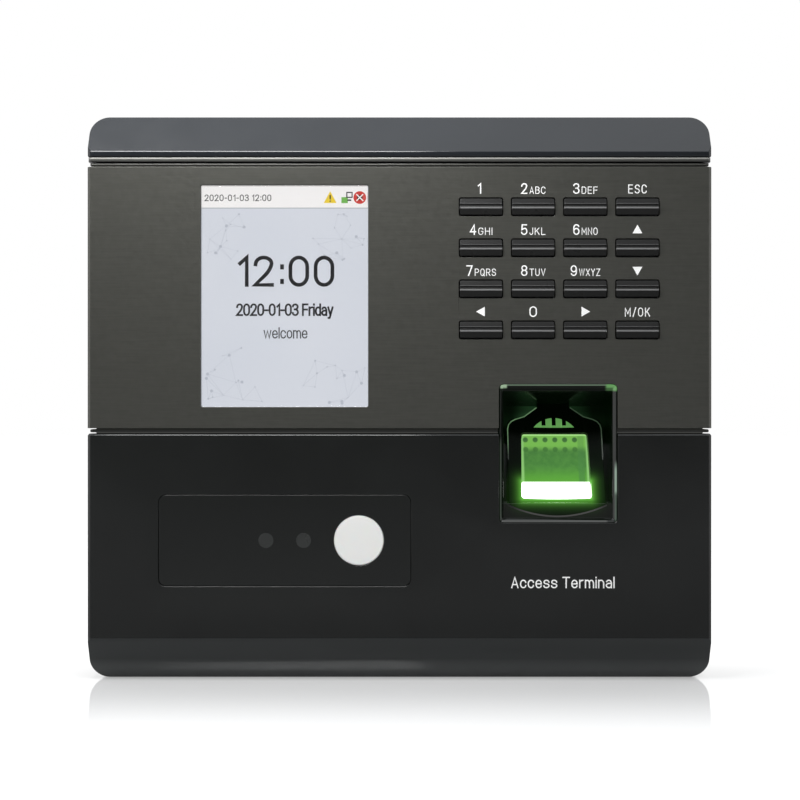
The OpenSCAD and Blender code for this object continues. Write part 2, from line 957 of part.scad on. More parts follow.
// A flat cable that leaves a board's back at front_d, turns and lands on the main board's front
module folded_flex(x, w, z, front_d, way) {
    land = body_d - board_front_y;
    t = 0.3;
    slab(front_d, front_d + t)
        translate([x, z - way * 4])
            square([w, 8], center = true);
    slab(front_d, land - 0.1)
        translate([x, z])
            square([w, t], center = true);
    slab(land - 0.1 - t, land - 0.1)
        translate([x, z + 2])
            square([w, 4], center = true);
}

module lcd_flex() {
    color("#b0703a")
        folded_flex(lens_x, lcd_flex_w, module_z - module_h / 2 + 1.2, module_back + 0.1, -1);
}

// ---- Keypad ----

module key_profile() {
    z = key_h / 2;
    polygon([
        [dy(key_flange_d + 0.1), -z], [dy(0), -z], [dy(-key_proud + 0.55), -z + 0.15],
        [dy(-key_proud), -0.3], [dy(-key_proud), 0.15], [dy(-key_proud + 0.45), 0.4],
        [dy(-key_proud + 0.45), 0.65], [dy(-key_proud + 0.15), 0.8],
        [dy(-key_proud + 0.65), z - 0.1], [dy(0), z], [dy(key_flange_d + 0.1), z]
    ]);
}

module key(i) {
    color("#2b2b2a")
        translate([key_x(i), 0, key_z(i)]) {
            intersection() {
                along_x(key_w)
                    key_profile();
                slab(-key_proud - over, key_flange_d + 0.1)
                    rounded(key_w, key_h, 0.45);
            }
            slab(key_flange_d, key_flange_d + key_flange_t)
                rounded(key_w + 2 * key_flange, key_h + 2 * key_flange, 0.6);
            pin(0, 0, 1.5, key_flange_d + key_flange_t - 0.1, key_stem_d);
        }
}

module keypad_membrane() {
    color("#77797a") {
        difference() {
            slab(sheet_d, sheet_d + sheet_t)
                translate([keypad_x, keypad_z])
                    rounded(key_board_w - 1, key_board_h - 1, 2);
            for (x = [-key_post_x, key_post_x])
                for (z = [-key_post_z, key_post_z])
                    pin(keypad_x + x, keypad_z + z, 2.6, 0, body_d);
        }
        for (i = [0:len(KEYS) - 1])
            translate([key_x(i), dy(sheet_d + 0.1), key_z(i)])
                rotate([90, 0, 0])
                    cylinder(h = sheet_d - dome_d + 0.1, r1 = 3, r2 = 1.8);
    }
}

module keypad_board() {
    color("#1f5c38")
        difference() {
            slab(key_board_d, key_board_d + board_t)
                translate([keypad_x, keypad_z])
                    rounded(key_board_w, key_board_h, 1);
            for (x = [-key_post_x, key_post_x])
                for (z = [-key_post_z, key_post_z])
                    pin(keypad_x + x, keypad_z + z, clear_r, 0, body_d);
        }
}

module keypad_ribbon() {
    edge = keypad_x - key_board_w / 2;
    color("#c8c9c6")
        folded_flex(edge + 5, 8, 18, key_board_d + board_t + 0.1, -1);
}

// ---- Camera window ----

module camera_window() {
    color("#222425")
        difference() {
            slab(window_d, window_d + window_t)
                translate([window_x, window_z])
                    rounded(window_w, window_h, 2);
            pin(diffuser_x, window_z, diffuser / 2 + diffuser_gap, -over, cover_t);
        }
}

module camera_unit(x) {
    base_d = camera_board_d - 4;
    color("#34373a") {
        slab(base_d, camera_board_d)
            translate([x, window_z])
                rounded(8.5, 8.5, 0.5);
        difference() {
            pin(x, window_z, 3.2, 2.6, base_d + 0.1);
            pin(x, window_z, camera_lens / 2 + 0.2, 2.6 - over, 3);
        }
        pin(x, window_z, camera_lens / 2 + 0.3, 2.9, base_d);
    }
}

module light_diffuser() {
    seat = window_d + window_t;
    cup = diffuser / 2 + 1.2;
    color("#f2f2ee")
        difference() {
            union() {
                pin(diffuser_x, window_z, diffuser / 2, 0, cover_t);
                pin(diffuser_x, window_z, cup, seat + 0.1, camera_board_d);
            }
            pin(diffuser_x, window_z, cup - 1, cover_t, camera_board_d + over);
        }
}

module camera_board() {
    color("#1f5c38")
        difference() {
            slab(camera_board_d, camera_board_d + camera_board_t)
                translate([window_x, window_z])
                    rounded(2 * camera_post_x + 5, window_h, 1);
            for (x = [-camera_post_x, camera_post_x])
                for (z = [-camera_post_z, camera_post_z])
                    pin(window_x + x, window_z + z, clear_r, 0, body_d);
        }
}

module fill_leds() {
    color("#f4edc2")
        for (angle = [0:90:270])
            slab(camera_board_d - 0.9, camera_board_d)
                translate([diffuser_x, window_z])
                    rotate(angle + 45)
                        translate([3.4, 0])
                            square([2.8, 2.8], center = true);
}

module camera_flex() {
    z = window_z + window_h / 2 + 0.6;
    color("#b0703a")
        folded_flex(camera_x + 4, 8, max(z, -board_low + 0.6), camera_board_d + camera_board_t + 0.1, 1);
}

// ---- Fingerprint sensor ----

// The sensor's own frame, on the middle of the glass
module on_glass() {
    translate([well_x, dy(glass_d), glass_z])
        rotate([90 - glass_tilt, 0, 0])
            children();
}

// Plan drawn on the glass's face, between two heights above it
module glass_slab(w0, w1) {
    translate([0, 0, w0])
        linear_extrude(w1 - w0)
            children();
}

// The glass's face: narrower at its top
module glass_outline(gap) {
    offset(r = 0.6 + gap)
        offset(delta = -0.6)
            polygon([
                [-glass_w / 2, -glass_h / 2], [glass_w / 2, -glass_h / 2],
                [glass_top_w / 2, glass_h / 2], [-glass_top_w / 2, glass_h / 2]
            ]);
}

// The finger channel's dish, which runs up the slope
module channel() {
    translate([0, 0, channel_low + channel_r])
        rotate([90, 0, 0])
            cylinder(h = 80, r = channel_r, center = true, $fn = 200);
}

// Y of the well's floor at a height above the middle of the opening
function floor_y(z) =
    dy(glass_d)
    + (z + glass_drop - floor_w * sin(glass_tilt)) * tan(glass_tilt)
    - floor_w * cos(glass_tilt);

// The hollow of the well, seen from the side; deep is how far it reaches in front of the face
module well_profile(deep) {
    back = space_top - ceiling_drop;
    translate([0, well_z])
        polygon([
            [dy(-deep), space_top], [floor_y(back), back],
            [floor_y(space_low), space_low], [dy(-deep), space_low]
        ]);
}

module well_space(shrink) {
    translate([well_x, 0, 0])
        along_x(space_w - 2 * shrink)
            offset(delta = -shrink)
                well_profile(2);
}

// Cuts a chamfer round the front of the bezel's opening
module opening_chamfer() {
    reach = bezel_chamfer + over;
    thin = 0.02;
    translate([well_x, 0, well_z + (space_top + opening_low) / 2])
        hull() {
            slab(rim_d + bezel_chamfer, rim_d + bezel_chamfer + thin)
                square([space_w - thin, space_top - opening_low - thin], center = true);
            slab(rim_d - over - thin, rim_d - over)
                square([space_w + 2 * reach, space_top - opening_low + 2 * reach], center = true);
        }
}

module sensor_ears() {
    for (x = [-ear_x, ear_x])
        translate([well_x + x, well_z])
            children();
}

module sensor_bezel() {
    lower_edge = well_z - well_h / 2 + fit;
    color("#141615")
        difference() {
            union() {
                intersection() {
                    slab(rim_d, body_d)
                        well_outline(-fit);
                    union() {
                        translate([well_x, 0, 0])
                            along_x(well_w)
                                offset(delta = bezel_t)
                                    well_profile(-rim_d - bezel_t);
                        slab(rim_d, 8)
                            well_outline(-fit);
                    }
                }
                slab(flange_d, flange_d + flange_t) {
                    well_outline(flange_over);
                    sensor_ears()
                        circle(r = 3.2);
                }
            }
            well_space(0);
            // Finger channel through the chin, and the chin's recessed face
            intersection() {
                on_glass()
                    channel();
                slab(-over, 8.5)
                    translate([well_x, well_z])
                        square([space_w, well_h], center = true);
                band(lower_edge + 0.8, well_z);
            }
            slab(-over, chin_d)
                translate([well_x, well_z + opening_low / 2])
                    square([space_w, -opening_low], center = true);
            opening_chamfer();
            on_glass()
                glass_slab(-12, floor_w + 0.5)
                    square([glass_w + 1, glass_h + 1], center = true);
            slab(0, body_d)
                sensor_ears()
                    circle(r = stake_r + 0.1);
        }
}

module guide_outline() {
    offset(r = 2)
        offset(delta = -2)
            polygon([
                [guide_half, -20], [guide_half, 12.9], [8, 14.4], [neck_half, 17.3], [neck_half, 24],
                [-neck_half, 24], [-neck_half, 17.3], [-8, 14.4], [-guide_half, 12.9], [-guide_half, -20]
            ]);
}

module crescent() {
    difference() {
        translate([0, crescent_top - crescent_r])
            circle(r = crescent_r);
        translate([-crescent_r - over, -over])
            square([2 * (crescent_r + over), crescent_v + over]);
        for (i = [-1:1])
            translate([i * crescent_pitch - crescent_bar / 2, crescent_v + crescent_band])
                square([crescent_bar, 2 * crescent_r]);
    }
}

module finger_guide() {
    color("#0f1110")
        intersection() {
            on_glass()
                difference() {
                    glass_slab(floor_w + 0.05, 4)
                        guide_outline();
                    channel();
                    glass_slab(floor_w - over, 5)
                        glass_outline(guide_gap);
                    glass_slab(floor_w - over, 5)
                        crescent();
                }
            well_space(0.06);
        }
}

module sensor_prism() {
    color("#4f9a35")
        on_glass()
            glass_slab(-glass_t, 0)
                glass_outline(0);
}

module sensor_case() {
    color("#1a1b1b")
        on_glass()
            difference() {
                glass_slab(case_top - case_t, case_top)
                    square([2 * case_half_x, 2 * case_half_v], center = true);
                glass_slab(case_top - case_t + case_wall, case_top + over)
                    square([glass_w + 0.6, glass_h + 0.6], center = true);
            }
}

module sensor_light() {
    base = case_top - case_t + case_wall + 0.05;
    color("#eef6e8")
        on_glass()
            glass_slab(base, -glass_t - 0.3)
                translate([0, -glass_h / 2 + 1.4])
                    square([16, 2.2], center = true);
}

module sensor_camera() {
    base = case_top - case_t + case_wall + 0.05;
    color("#22262b")
        on_glass() {
            glass_slab(base, base + 1.2)
                translate([0, 4])
                    square([6, 6], center = true);
            translate([0, 4, base + 1.1])
                cylinder(h = 1.1, r = 2.2);
        }
}

module sensor_board() {
    color("#1f5c38")
        on_glass()
            glass_slab(sensor_board_w - sensor_board_t, sensor_board_w)
                square([2 * case_half_x, 2 * case_half_v], center = true);
}

module sensor_flex() {
    color("#b0703a")
        on_glass()
            glass_slab(sensor_board_w - sensor_board_t - 0.4, sensor_board_w - sensor_board_t - 0.1)
                translate([-case_half_x - 2, 6])
                    square([16, 6], center = true);
}

// ---- Main board and what is on it ----

module main_board() {
    color("#1f5c38")
        difference() {
            union() {
                wall_box(board_x, board_w, -board_low, board_h, board_y, board_front_y);
                // Processor shield, memory and connectors on the front
                wall_box(shield_x, shield_w, board_z - 2, 22, board_front_y - 0.1, board_front_y + 2.2);
                wall_box(memory_x, memory_w, board_z + 4, 14, board_front_y - 0.1, board_front_y + 1.4);
                wall_box(socket_x, socket_w, board_z + 16, 10, board_front_y - 0.1, board_front_y + 1.2);
                // Reset switch and capacitors on the back
                wall_box(reset_x, 6, reset_z - 3, 6, board_y - 3.5, board_y + 0.1);
                for (x = [-10, 0])
                    wall_pin(board_x + x, board_z + 28, 4, board_y - 8, board_y + 0.1);
            }
            board_places()
                wall_pin(0, 0, clear_r, 0, body_d);
            wall_pin(reset_x, reset_z, reset_r + 0.15, board_y - 4, board_y - 0.5);
        }
}

module ethernet_jack() {
    color("#b9bcbe")
        difference() {
            wall_box(jack_x, jack_w, jack_low, jack_h, part_y - jack_d, part_y);
            wall_box(jack_x, 11.8, jack_low - over, 12 + over, part_y - 11, part_y - 3);
            wall_box(jack_x, 6, jack_low - over, 12 + over, part_y - 12.4, part_y - 10);
        }
}

module power_jack() {
    color("#1d1e20") {
        difference() {
            wall_box(power_x, power_w, jack_low, power_h, part_y - power_d, part_y);
            translate([power_x, -part_y + power_d - 4.6, jack_low - over])
                cylinder(h = 10 + over, r = 3.15);
        }
        translate([power_x, -part_y + power_d - 4.6, jack_low + 0.6])
            cylinder(h = 10, r = 1);
    }
}

module terminal_block() {
    color("#2f6d3c")
        difference() {
            wall_box(terminal_x, terminal_w, jack_low, terminal_h, part_y - power_d, part_y);
            for (i = [-1.5:1.5])
                wall_box(terminal_x + i * terminal_pitch, 2.6, jack_low - over, 7 + over,
                    part_y - power_d + 3, part_y - power_d + 6);
            for (i = [-1.5:1.5])
                wall_pin(terminal_x + i * terminal_pitch, jack_low + 4.5, 1.3,
                    part_y - power_d - over, part_y - power_d + 1.8);
        }
}

module usb_port() {
    base = low_z + rear_inset + 0.2;
    color("#b9bcbe") {
        difference() {
            wall_box(usb_x, usb_w, base, usb_len, usb_y - usb_t / 2, usb_y + usb_t / 2);
            wall_box(usb_x, usb_w - 1, base - over, 10 + over,
                usb_y - usb_t / 2 + 0.5, usb_y + usb_t / 2 - 0.5);
        }
        wall_box(usb_x, usb_w - 2, base + 1, 10, usb_y + 0.2, usb_y + 1.8);
    }
}

module usb_board() {
    front = usb_y + usb_t / 2 + 0.15;
    color("#1f5c38")
        difference() {
            wall_box(usb_x, 22, low_z + rim_in + rim_t + 0.4, 13.5, front, front + 1.2);
            usb_places()
                wall_pin(0, 0, clear_r, 0, body_d);
        }
}

module coin_cell() {
    color("#c4c6c8")
        wall_pin(cell_x, cell_z, cell_r, part_y - 4.3, part_y - 4.3 + cell_t);
}

module cell_holder() {
    color("#1d1e20")
        difference() {
            wall_pin(cell_x, cell_z, holder_r, part_y - 4.5, part_y);
            wall_pin(cell_x, cell_z, cell_r + fit, part_y - 5, part_y - 0.9);
        }
}

module speaker_unit() {
    color("#3a3c3f")
        difference() {
            union() {
                wall_pin(speaker_x, speaker_z, speaker / 2, inner_y + 0.1, inner_y + 2.6);
                wall_pin(speaker_x, speaker_z, speaker / 3, inner_y + 2.5, inner_y + speaker_t);
            }
            wall_pin(speaker_x, speaker_z, speaker / 2 - 1.5, inner_y - over, inner_y + 1);
        }
}

module reset_button() {
    color("#e2e2dc")
        wall_pin(reset_x, reset_z, reset_r, board_y - 4.6, board_y - 1);
}

module tamper_switch() {
    color("#26282a")
        difference() {
            wall_box(tamper_x, 7, tamper_z - 3.5, 7, part_y - 4.6, part_y);
            wall_pin(tamper_x, tamper_z, tamper_bore_r, part_y - 6, part_y - 0.6);
        }
}

module tamper_plunger() {
    color("#d8d8d2") {
        wall_pin(tamper_x, tamper_z, tamper_bore_r - 0.3, plate_t + 0.05, part_y - 2);
        wall_pin(tamper_x, tamper_z, 2.4, inner_y + 3.2, inner_y + 4.4);
    }
}

module board_screws() {
    color("#a4a7aa") {
        board_places() {
            wall_pin(0, 0, 2.2, board_front_y + 0.02, board_front_y + 1.5);
            wall_pin(0, 0, 1, board_y - 7, board_front_y + 0.1);
        }
        usb_places() {
            wall_pin(0, 0, 2.2, usb_y + usb_t / 2 + 1.37, usb_y + usb_t / 2 + 2.8);
            wall_pin(0, 0, 1, usb_y - 3, usb_y + usb_t / 2 + 1.5);
        }
        for (x = [-key_post_x, key_post_x])
            for (z = [-key_post_z, key_post_z]) {
                pin(keypad_x + x, keypad_z + z, 2,
                    key_board_d + board_t + 0.02, key_board_d + board_t + 1.4);
                pin(keypad_x + x, keypad_z + z, 1, chassis_back + 0.4, key_board_d + board_t + 0.1);
            }
        for (x = [-camera_post_x, camera_post_x])
            for (z = [-camera_post_z, camera_post_z]) {
                pin(window_x + x, window_z + z, 2, camera_board_d + camera_board_t + 0.02,
                    camera_board_d + camera_board_t + 1.4);
                pin(window_x + x, window_z + z, 1,
                    chassis_back + 0.4, camera_board_d + camera_board_t + 0.1);
            }
    }
}

top_cap();
front_panel();
lower_cover();
front_chassis();
rear_housing();
wall_plate();
lock_screw();
housing_screws();
display_lens();
lcd_panel();
lcd_frame();
lcd_flex();
for (i = [0:len(KEYS) - 1]) {
    key(i);
}
keypad_membrane();
keypad_board();
keypad_ribbon();
camera_window();
camera_unit(camera_x - camera_pitch / 2);  // left_camera
camera_unit(camera_x + camera_pitch / 2);  // right_camera
light_diffuser();
camera_board();
fill_leds();
camera_flex();
sensor_bezel();
finger_guide();
sensor_prism();
sensor_light();
sensor_case();
sensor_camera();
sensor_board();
sensor_flex();
main_board();
ethernet_jack();
power_jack();
terminal_block();
usb_port();
usb_board();
coin_cell();
cell_holder();
speaker_unit();
reset_button();
tamper_switch();
tamper_plunger();
board_screws();
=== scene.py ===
import math
import random

import bmesh
import bpy
from mathutils import Matrix, Vector


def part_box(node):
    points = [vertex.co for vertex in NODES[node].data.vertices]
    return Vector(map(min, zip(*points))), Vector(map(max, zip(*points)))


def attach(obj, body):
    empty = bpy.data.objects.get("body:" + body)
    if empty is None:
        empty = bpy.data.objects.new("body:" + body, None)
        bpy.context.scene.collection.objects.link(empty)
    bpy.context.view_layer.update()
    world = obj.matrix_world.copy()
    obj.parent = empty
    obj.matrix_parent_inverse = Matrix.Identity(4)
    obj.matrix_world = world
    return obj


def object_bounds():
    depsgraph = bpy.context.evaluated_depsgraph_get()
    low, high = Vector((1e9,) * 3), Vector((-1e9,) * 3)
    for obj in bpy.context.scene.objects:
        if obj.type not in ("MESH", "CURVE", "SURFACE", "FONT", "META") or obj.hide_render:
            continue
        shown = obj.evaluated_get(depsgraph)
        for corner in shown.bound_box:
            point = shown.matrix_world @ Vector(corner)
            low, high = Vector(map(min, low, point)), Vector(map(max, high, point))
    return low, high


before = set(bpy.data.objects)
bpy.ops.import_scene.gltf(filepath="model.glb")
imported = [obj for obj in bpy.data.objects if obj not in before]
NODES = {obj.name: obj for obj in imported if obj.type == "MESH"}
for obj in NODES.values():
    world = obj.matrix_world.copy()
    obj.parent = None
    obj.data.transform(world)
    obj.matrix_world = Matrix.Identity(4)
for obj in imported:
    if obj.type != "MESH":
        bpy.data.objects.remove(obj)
cad_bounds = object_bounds()
ROOT = "terminal"
MM = 0.001
KEYS = [n for n in NODES if n.startswith("key_")]


def span(node):
    """Lowest and highest corner of a CAD node, in millimetres."""
    low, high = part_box(node)
    return low / MM, high / MM


def middle(node):
    low, high = span(node)
    return (low + high) / 2


FRONT = span("front_panel")[0].y
FLOOR_Z = cad_bounds[0].z / MM


# ---- Camera ----

VIEW_DISTANCE = 450.0
VIEW_WIDTH = 212.5
VIEW_AIM = Vector((0.13, FRONT, -0.8))
SENSOR_WIDTH = 36.0

camera_data = bpy.data.cameras.new("camera")
camera_data.sensor_width = SENSOR_WIDTH
camera_data.lens = SENSOR_WIDTH * VIEW_DISTANCE / VIEW_WIDTH
camera_data.clip_start = 0.01
camera_data.clip_end = 20
camera = bpy.data.objects.new("camera", camera_data)
camera.location = (VIEW_AIM - Vector((0, VIEW_DISTANCE, 0))) * MM
camera.rotation_euler = (math.pi / 2, 0, 0)
bpy.context.scene.collection.objects.link(camera)
bpy.context.scene.camera = camera


# ---- Materials ----

class Finish:
    """One material and short calls for its nodes."""

    def __init__(self, name, colour=(0.8, 0.8, 0.8), rough=0.5, **sockets):
        self.material = bpy.data.materials.new(name)
        self.material.use_nodes = True
        self.tree = self.material.node_tree
        self.shader = self.tree.nodes["Principled BSDF"]
        self.set("Base Color", (*colour, 1))
        self.set("Roughness", rough)
        for socket, value in sockets.items():
            self.set(socket.replace("_", " "), value)
        self.place = self.tree.nodes.new("ShaderNodeTexCoord").outputs["Object"]

    def set(self, socket, value):
        self.shader.inputs[socket].default_value = value

    def node(self, kind, inputs=(), **settings):
        made = self.tree.nodes.new("ShaderNode" + kind)
        for key, value in settings.items():
            setattr(made, key, value)
        for key, value in dict(inputs).items():
            if isinstance(value, bpy.types.NodeSocket):
                self.tree.links.new(value, made.inputs[key])
            else:
                made.inputs[key].default_value = value
        return made

    def noise(self, scale, detail=2.0, rough=0.5, place=None):
        made = self.node("TexNoise", {"Vector": place or self.place, "Scale": scale,
                                      "Detail": detail, "Roughness": rough})
        return made.outputs["Fac"]

    def remap(self, value, low, high, to_low, to_high, smooth=False):
        made = self.node("MapRange", {0: value, 1: low, 2: high, 3: to_low, 4: to_high},
                         interpolation_type="SMOOTHSTEP" if smooth else "LINEAR")
        return made.outputs[0]

    def math(self, operation, a, b=0.0):
        return self.node("Math", {0: a, 1: b}, operation=operation).outputs[0]

    def mix(self, amount, a, b):
        made = self.node("Mix", {0: amount, 6: a if not isinstance(a, tuple) else (*a, 1),
                                 7: b if not isinstance(b, tuple) else (*b, 1)}, data_type="RGBA")
        return made.outputs[2]

    def link(self, socket, output):
        self.tree.links.new(output, self.shader.inputs[socket])

    def over(self, amount, colour):
        """Lays another base colour over the present one."""
        under = self.shader.inputs["Base Color"].links[0].from_socket
        self.link("Base Color", self.mix(amount, under, colour))

    def tone(self, colour, scale, amount, detail=3.0):
        """Base colour that drifts round a mean."""
        low = tuple(c * (1 - amount) for c in colour)
        high = tuple(c * (1 + amount) for c in colour)
        drift = self.remap(self.noise(scale, detail), 0.3, 0.7, 0, 1)
        self.link("Base Color", self.mix(drift, low, high))

    def gloss(self, rough, scale, amount, detail=3.0):
        drift = self.remap(self.noise(scale, detail), 0.3, 0.7, rough - amount, rough + amount)
        self.link("Roughness", drift)

    def bump(self, height, depth, normal=None):
        inputs = {"Height": height, "Distance": depth}
        if normal:
            inputs["Normal"] = normal
        made = self.node("Bump", inputs)
        self.link("Normal", made.outputs[0])
        return made.outputs[0]

    def grain(self, size, depth, detail=2.0):
        """Fine surface texture: its size across and its depth, in millimetres."""
        return self.bump(self.noise(1 / (size * MM), detail), depth * MM)


def plastic(name, colour, rough, size=0.5, depth=0.004, drift=0.06, spread=0.04, **sockets):
    made = Finish(name, colour, rough, **sockets)
    made.tone(colour, 45, drift)
    made.gloss(rough, 120, spread)
    made.grain(size, depth)
    return made


def metal(name, colour, rough, size=0.3, depth=0.003, drift=0.08, spread=0.06, **sockets):
    made = Finish(name, colour, rough, Metallic=1.0, **sockets)
    made.tone(colour, 90, drift, 5)
    made.gloss(rough, 300, spread, 5)
    made.grain(size, depth)
    return made


def near(finish, value, at, half, blur):
    """1 where value is within half of at, fading to 0 over blur."""
    gap = finish.math("ABSOLUTE", finish.math("SUBTRACT", value, at))
    return finish.remap(gap, half, half + blur, 1, 0, smooth=True)


def product(finish, *values):
    total = values[0]
    for value in values[1:]:
        total = finish.math("MULTIPLY", total, value)
    return total


def dress(finish, *nodes):
    for name in nodes:
        slots = NODES[name].data.materials
        slots.clear()
        slots.append(finish.material)


# ---- Mesh helpers ----

def soften(name, width, merge=True):
    """Rounds the hard edges of a CAD node by width, in millimetres; merge joins its flat faces first."""
    thing = NODES[name]
    mesh = thing.data
    if "custom_normal" in mesh.attributes:
        mesh.attributes.remove(mesh.attributes["custom_normal"])
    mesh.shade_smooth()
    weld = thing.modifiers.new("weld", "WELD")
    weld.merge_threshold = 1e-6
    if merge:
        flat = thing.modifiers.new("flat", "DECIMATE")
        flat.decimate_type = "DISSOLVE"
        flat.angle_limit = math.radians(0.5)
    bevel = thing.modifiers.new("bevel", "BEVEL")
    bevel.width = width * MM
    bevel.segments = 2
    bevel.limit_method = "ANGLE"
    bevel.angle_limit = math.radians(30)
    bevel.use_clamp_overlap = False
    bevel.miter_outer = "MITER_ARC"
    smooth = thing.modifiers.new("normals", "WEIGHTED_NORMAL")
    smooth.keep_sharp = True
    smooth.weight = 80


def piece(name, bm, finish, smooth=False):
    """A new object from mesh code in millimetres."""
    bmesh.ops.scale(bm, vec=(MM, MM, MM), verts=bm.verts)
    bmesh.ops.recalc_face_normals(bm, faces=bm.faces)
    mesh = bpy.data.meshes.new(name)
    bm.to_mesh(mesh)
    bm.free()
    mesh.materials.append(finish.material)
    if smooth:
        mesh.shade_smooth()
    made = bpy.data.objects.new(name, mesh)
    bpy.context.scene.collection.objects.link(made)
    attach(made, ROOT)


def plate(bm, outline, y0, y1):
    """A flat shape of (x, z) points with a front at y0 and a back at y1."""
    front = [bm.verts.new((x, y0, z)) for x, z in outline]
    back = [bm.verts.new((x, y1, z)) for x, z in outline]
    bm.faces.new(front)
    bm.faces.new(list(reversed(back)))
    count = len(outline)
    for i in range(count):
        j = (i + 1) % count
        bm.faces.new((front[j], front[i], back[i], back[j]))


def rectangle(x0, x1, z0, z1):
    return [(x0, z0), (x1, z0), (x1, z1), (x0, z1)]


def disc(x, z, radius, sides=16):
    step = 2 * math.pi / sides
    return [(x + radius * math.cos(i * step), z + radius * math.sin(i * step)) for i in range(sides)]


def stroke(x0, z0, x1, z1, width):
    along = Vector((x1 - x0, z1 - z0)).normalized() * width / 2
    side = Vector((-along.y, along.x))
    return [(x0 + side.x, z0 + side.y), (x0 - side.x, z0 - side.y),
            (x1 - side.x, z1 - side.y), (x1 + side.x, z1 + side.y)]


# Each stroke is a line through grid points; r rounds a corner and z closes the line. Tall letters are 6
# units high and small ones 4.3.
GLYPHS = {
    "0": "0,0r 4,0r 4,6r 0,6r z", "1": "0.5,4.7 2.1,6 2.1,0",
    "2": "0.1,4.5 0.1,6r 3.9,6r 3.9,3.5r 0,0 4,0",
    "3": "0.1,4.9 0.1,6r 3.8,6r 3.8,3.2r 1.5,3.2/1.5,3.2 4,3.2r 4,0r 0,0r 0,1.2",
    "4": "3.1,0 3.1,6 0,1.6 4.2,1.6", "5": "3.7,6 0.4,6 0.15,2.9 1.2,3.7r 4,3.7r 4,0r 0,0r 0,1.2",
    "6": "3.8,5 3.8,6r 0,6r 0,0r 4,0r 4,3.7r 0.1,3.7r 0.1,2", "7": "0,6 4,6 1.3,0",
    "8": "0.2,3.2r 0.2,6r 3.8,6r 3.8,3.2r z/0,0r 4,0r 4,3.2r 0,3.2r z",
    "9": "0.2,1 0.2,0r 4,0r 4,6r 0,6r 0,2.3r 3.9,2.3r 3.9,4",
    ":": "0.4,0.6 0.4,0.9/0.4,3.8 0.4,4.1", "-": "0,2.7 2,2.7", "|": "0,-0.3 2.6,6.3",
    "A": "0,0 2,6 4,0/0.7,1.8 3.3,1.8", "B": "0,0 0,6 3.7,6r 3.7,3.2r 0,3.2/0,3.2 4,3.2r 4,0r 0,0",
    "C": "4,4.6 4,6r 0,6r 0,0r 4,0r 4,1.4", "D": "0,0 0,6 4,6r 4,0r 0,0 0,0.5",
    "E": "3.6,6 0,6 0,0 3.6,0/0,3.1 3.2,3.1", "F": "3.6,6 0,6 0,0/0,3.1 3.2,3.1",
    "G": "4,4.8 4,6r 0,6r 0,0r 4,0r 4,2.9 2.5,2.9", "H": "0,0 0,6/4,0 4,6/0,3.1 4,3.1",
    "I": "0,0 0,6", "J": "2.8,6 2.8,0r 0,0r 0,1.4", "K": "0,0 0,6/3.8,6 0,2.2/1.5,3.7 4,0",
    "L": "0,6 0,0 3.4,0", "M": "0,0 0,6 2.4,1.8 4.8,6 4.8,0", "N": "0,0 0,6 4,0 4,6",
    "O": "0,0r 4,0r 4,6r 0,6r z", "P": "0,0 0,6 4,6r 4,2.8r 0,2.8",
    "Q": "0,0r 4,0r 4,6r 0,6r z/2.5,1.5 4.2,-0.4", "R": "0,0 0,6 4,6r 4,2.8r 0,2.8/2,2.8 4,0",
    "S": "3.9,4.8 3.9,6r 0.1,6r 0.1,3.1r 3.9,3.1r 3.9,0r 0,0r 0,1.2", "T": "0,6 4,6/2,0 2,6",
    "U": "0,6 0,0r 4,0r 4,6", "V": "0,6 2,0 4,6", "W": "0,6 1.5,0 3,6 4.5,0 6,6",
    "X": "0,0 4,6/0,6 4,0", "Y": "0,6 2,2.8 4,6/2,2.8 2,0", "Z": "0,6 4,6 0,0 4,0",
    "a": "0.3,3.5 0.3,4.3r 3.3,4.3r 3.3,0/3.3,2.5 0,2.5r 0,0r 3.3,0r 3.3,1.2",
    "c": "3.3,3.1 3.3,4.3r 0,4.3r 0,0r 3.3,0r 3.3,1.2",
    "d": "3.4,0 3.4,6/3.4,1 3.4,0r 0,0r 0,4.3r 3.4,4.3r 3.4,3.3",
    "e": "0,2.2 3.4,2.2 3.4,4.3r 0,4.3r 0,0r 3.3,0r 3.3,1", "i": "0,0 0,4.3/0,5.8 0,6",
    "l": "0,6 0,0", "m": "0,0 0,4.3/0,3.2 0,4.3r 2.6,4.3r 2.6,0/2.6,3.2 2.6,4.3r 5.2,4.3r 5.2,0",
    "n": "0,0 0,4.3/0,3.2 0,4.3r 3.2,4.3r 3.2,0", "o": "0,0r 3.4,0r 3.4,4.3r 0,4.3r z",
    "r": "0,0 0,4.3/0,3 0,4.3r 2,4.3", "y": "0,4.3 1.7,0/3.4,4.3 1.7,0 1.1,-1.6 0.2,-1.6",
    "s": "3.2,3.3 3.2,4.3r 0.1,4.3r 0.1,2.2r 3.3,2.2r 3.3,0r 0,0r 0,1",
    "t": "1,5.8 1,0r 2.4,0/0,4.3 2.3,4.3", "w": "0,4.3 1.2,0 2.5,4.3 3.8,0 5,4.3",
}
ARC_STEPS = 6


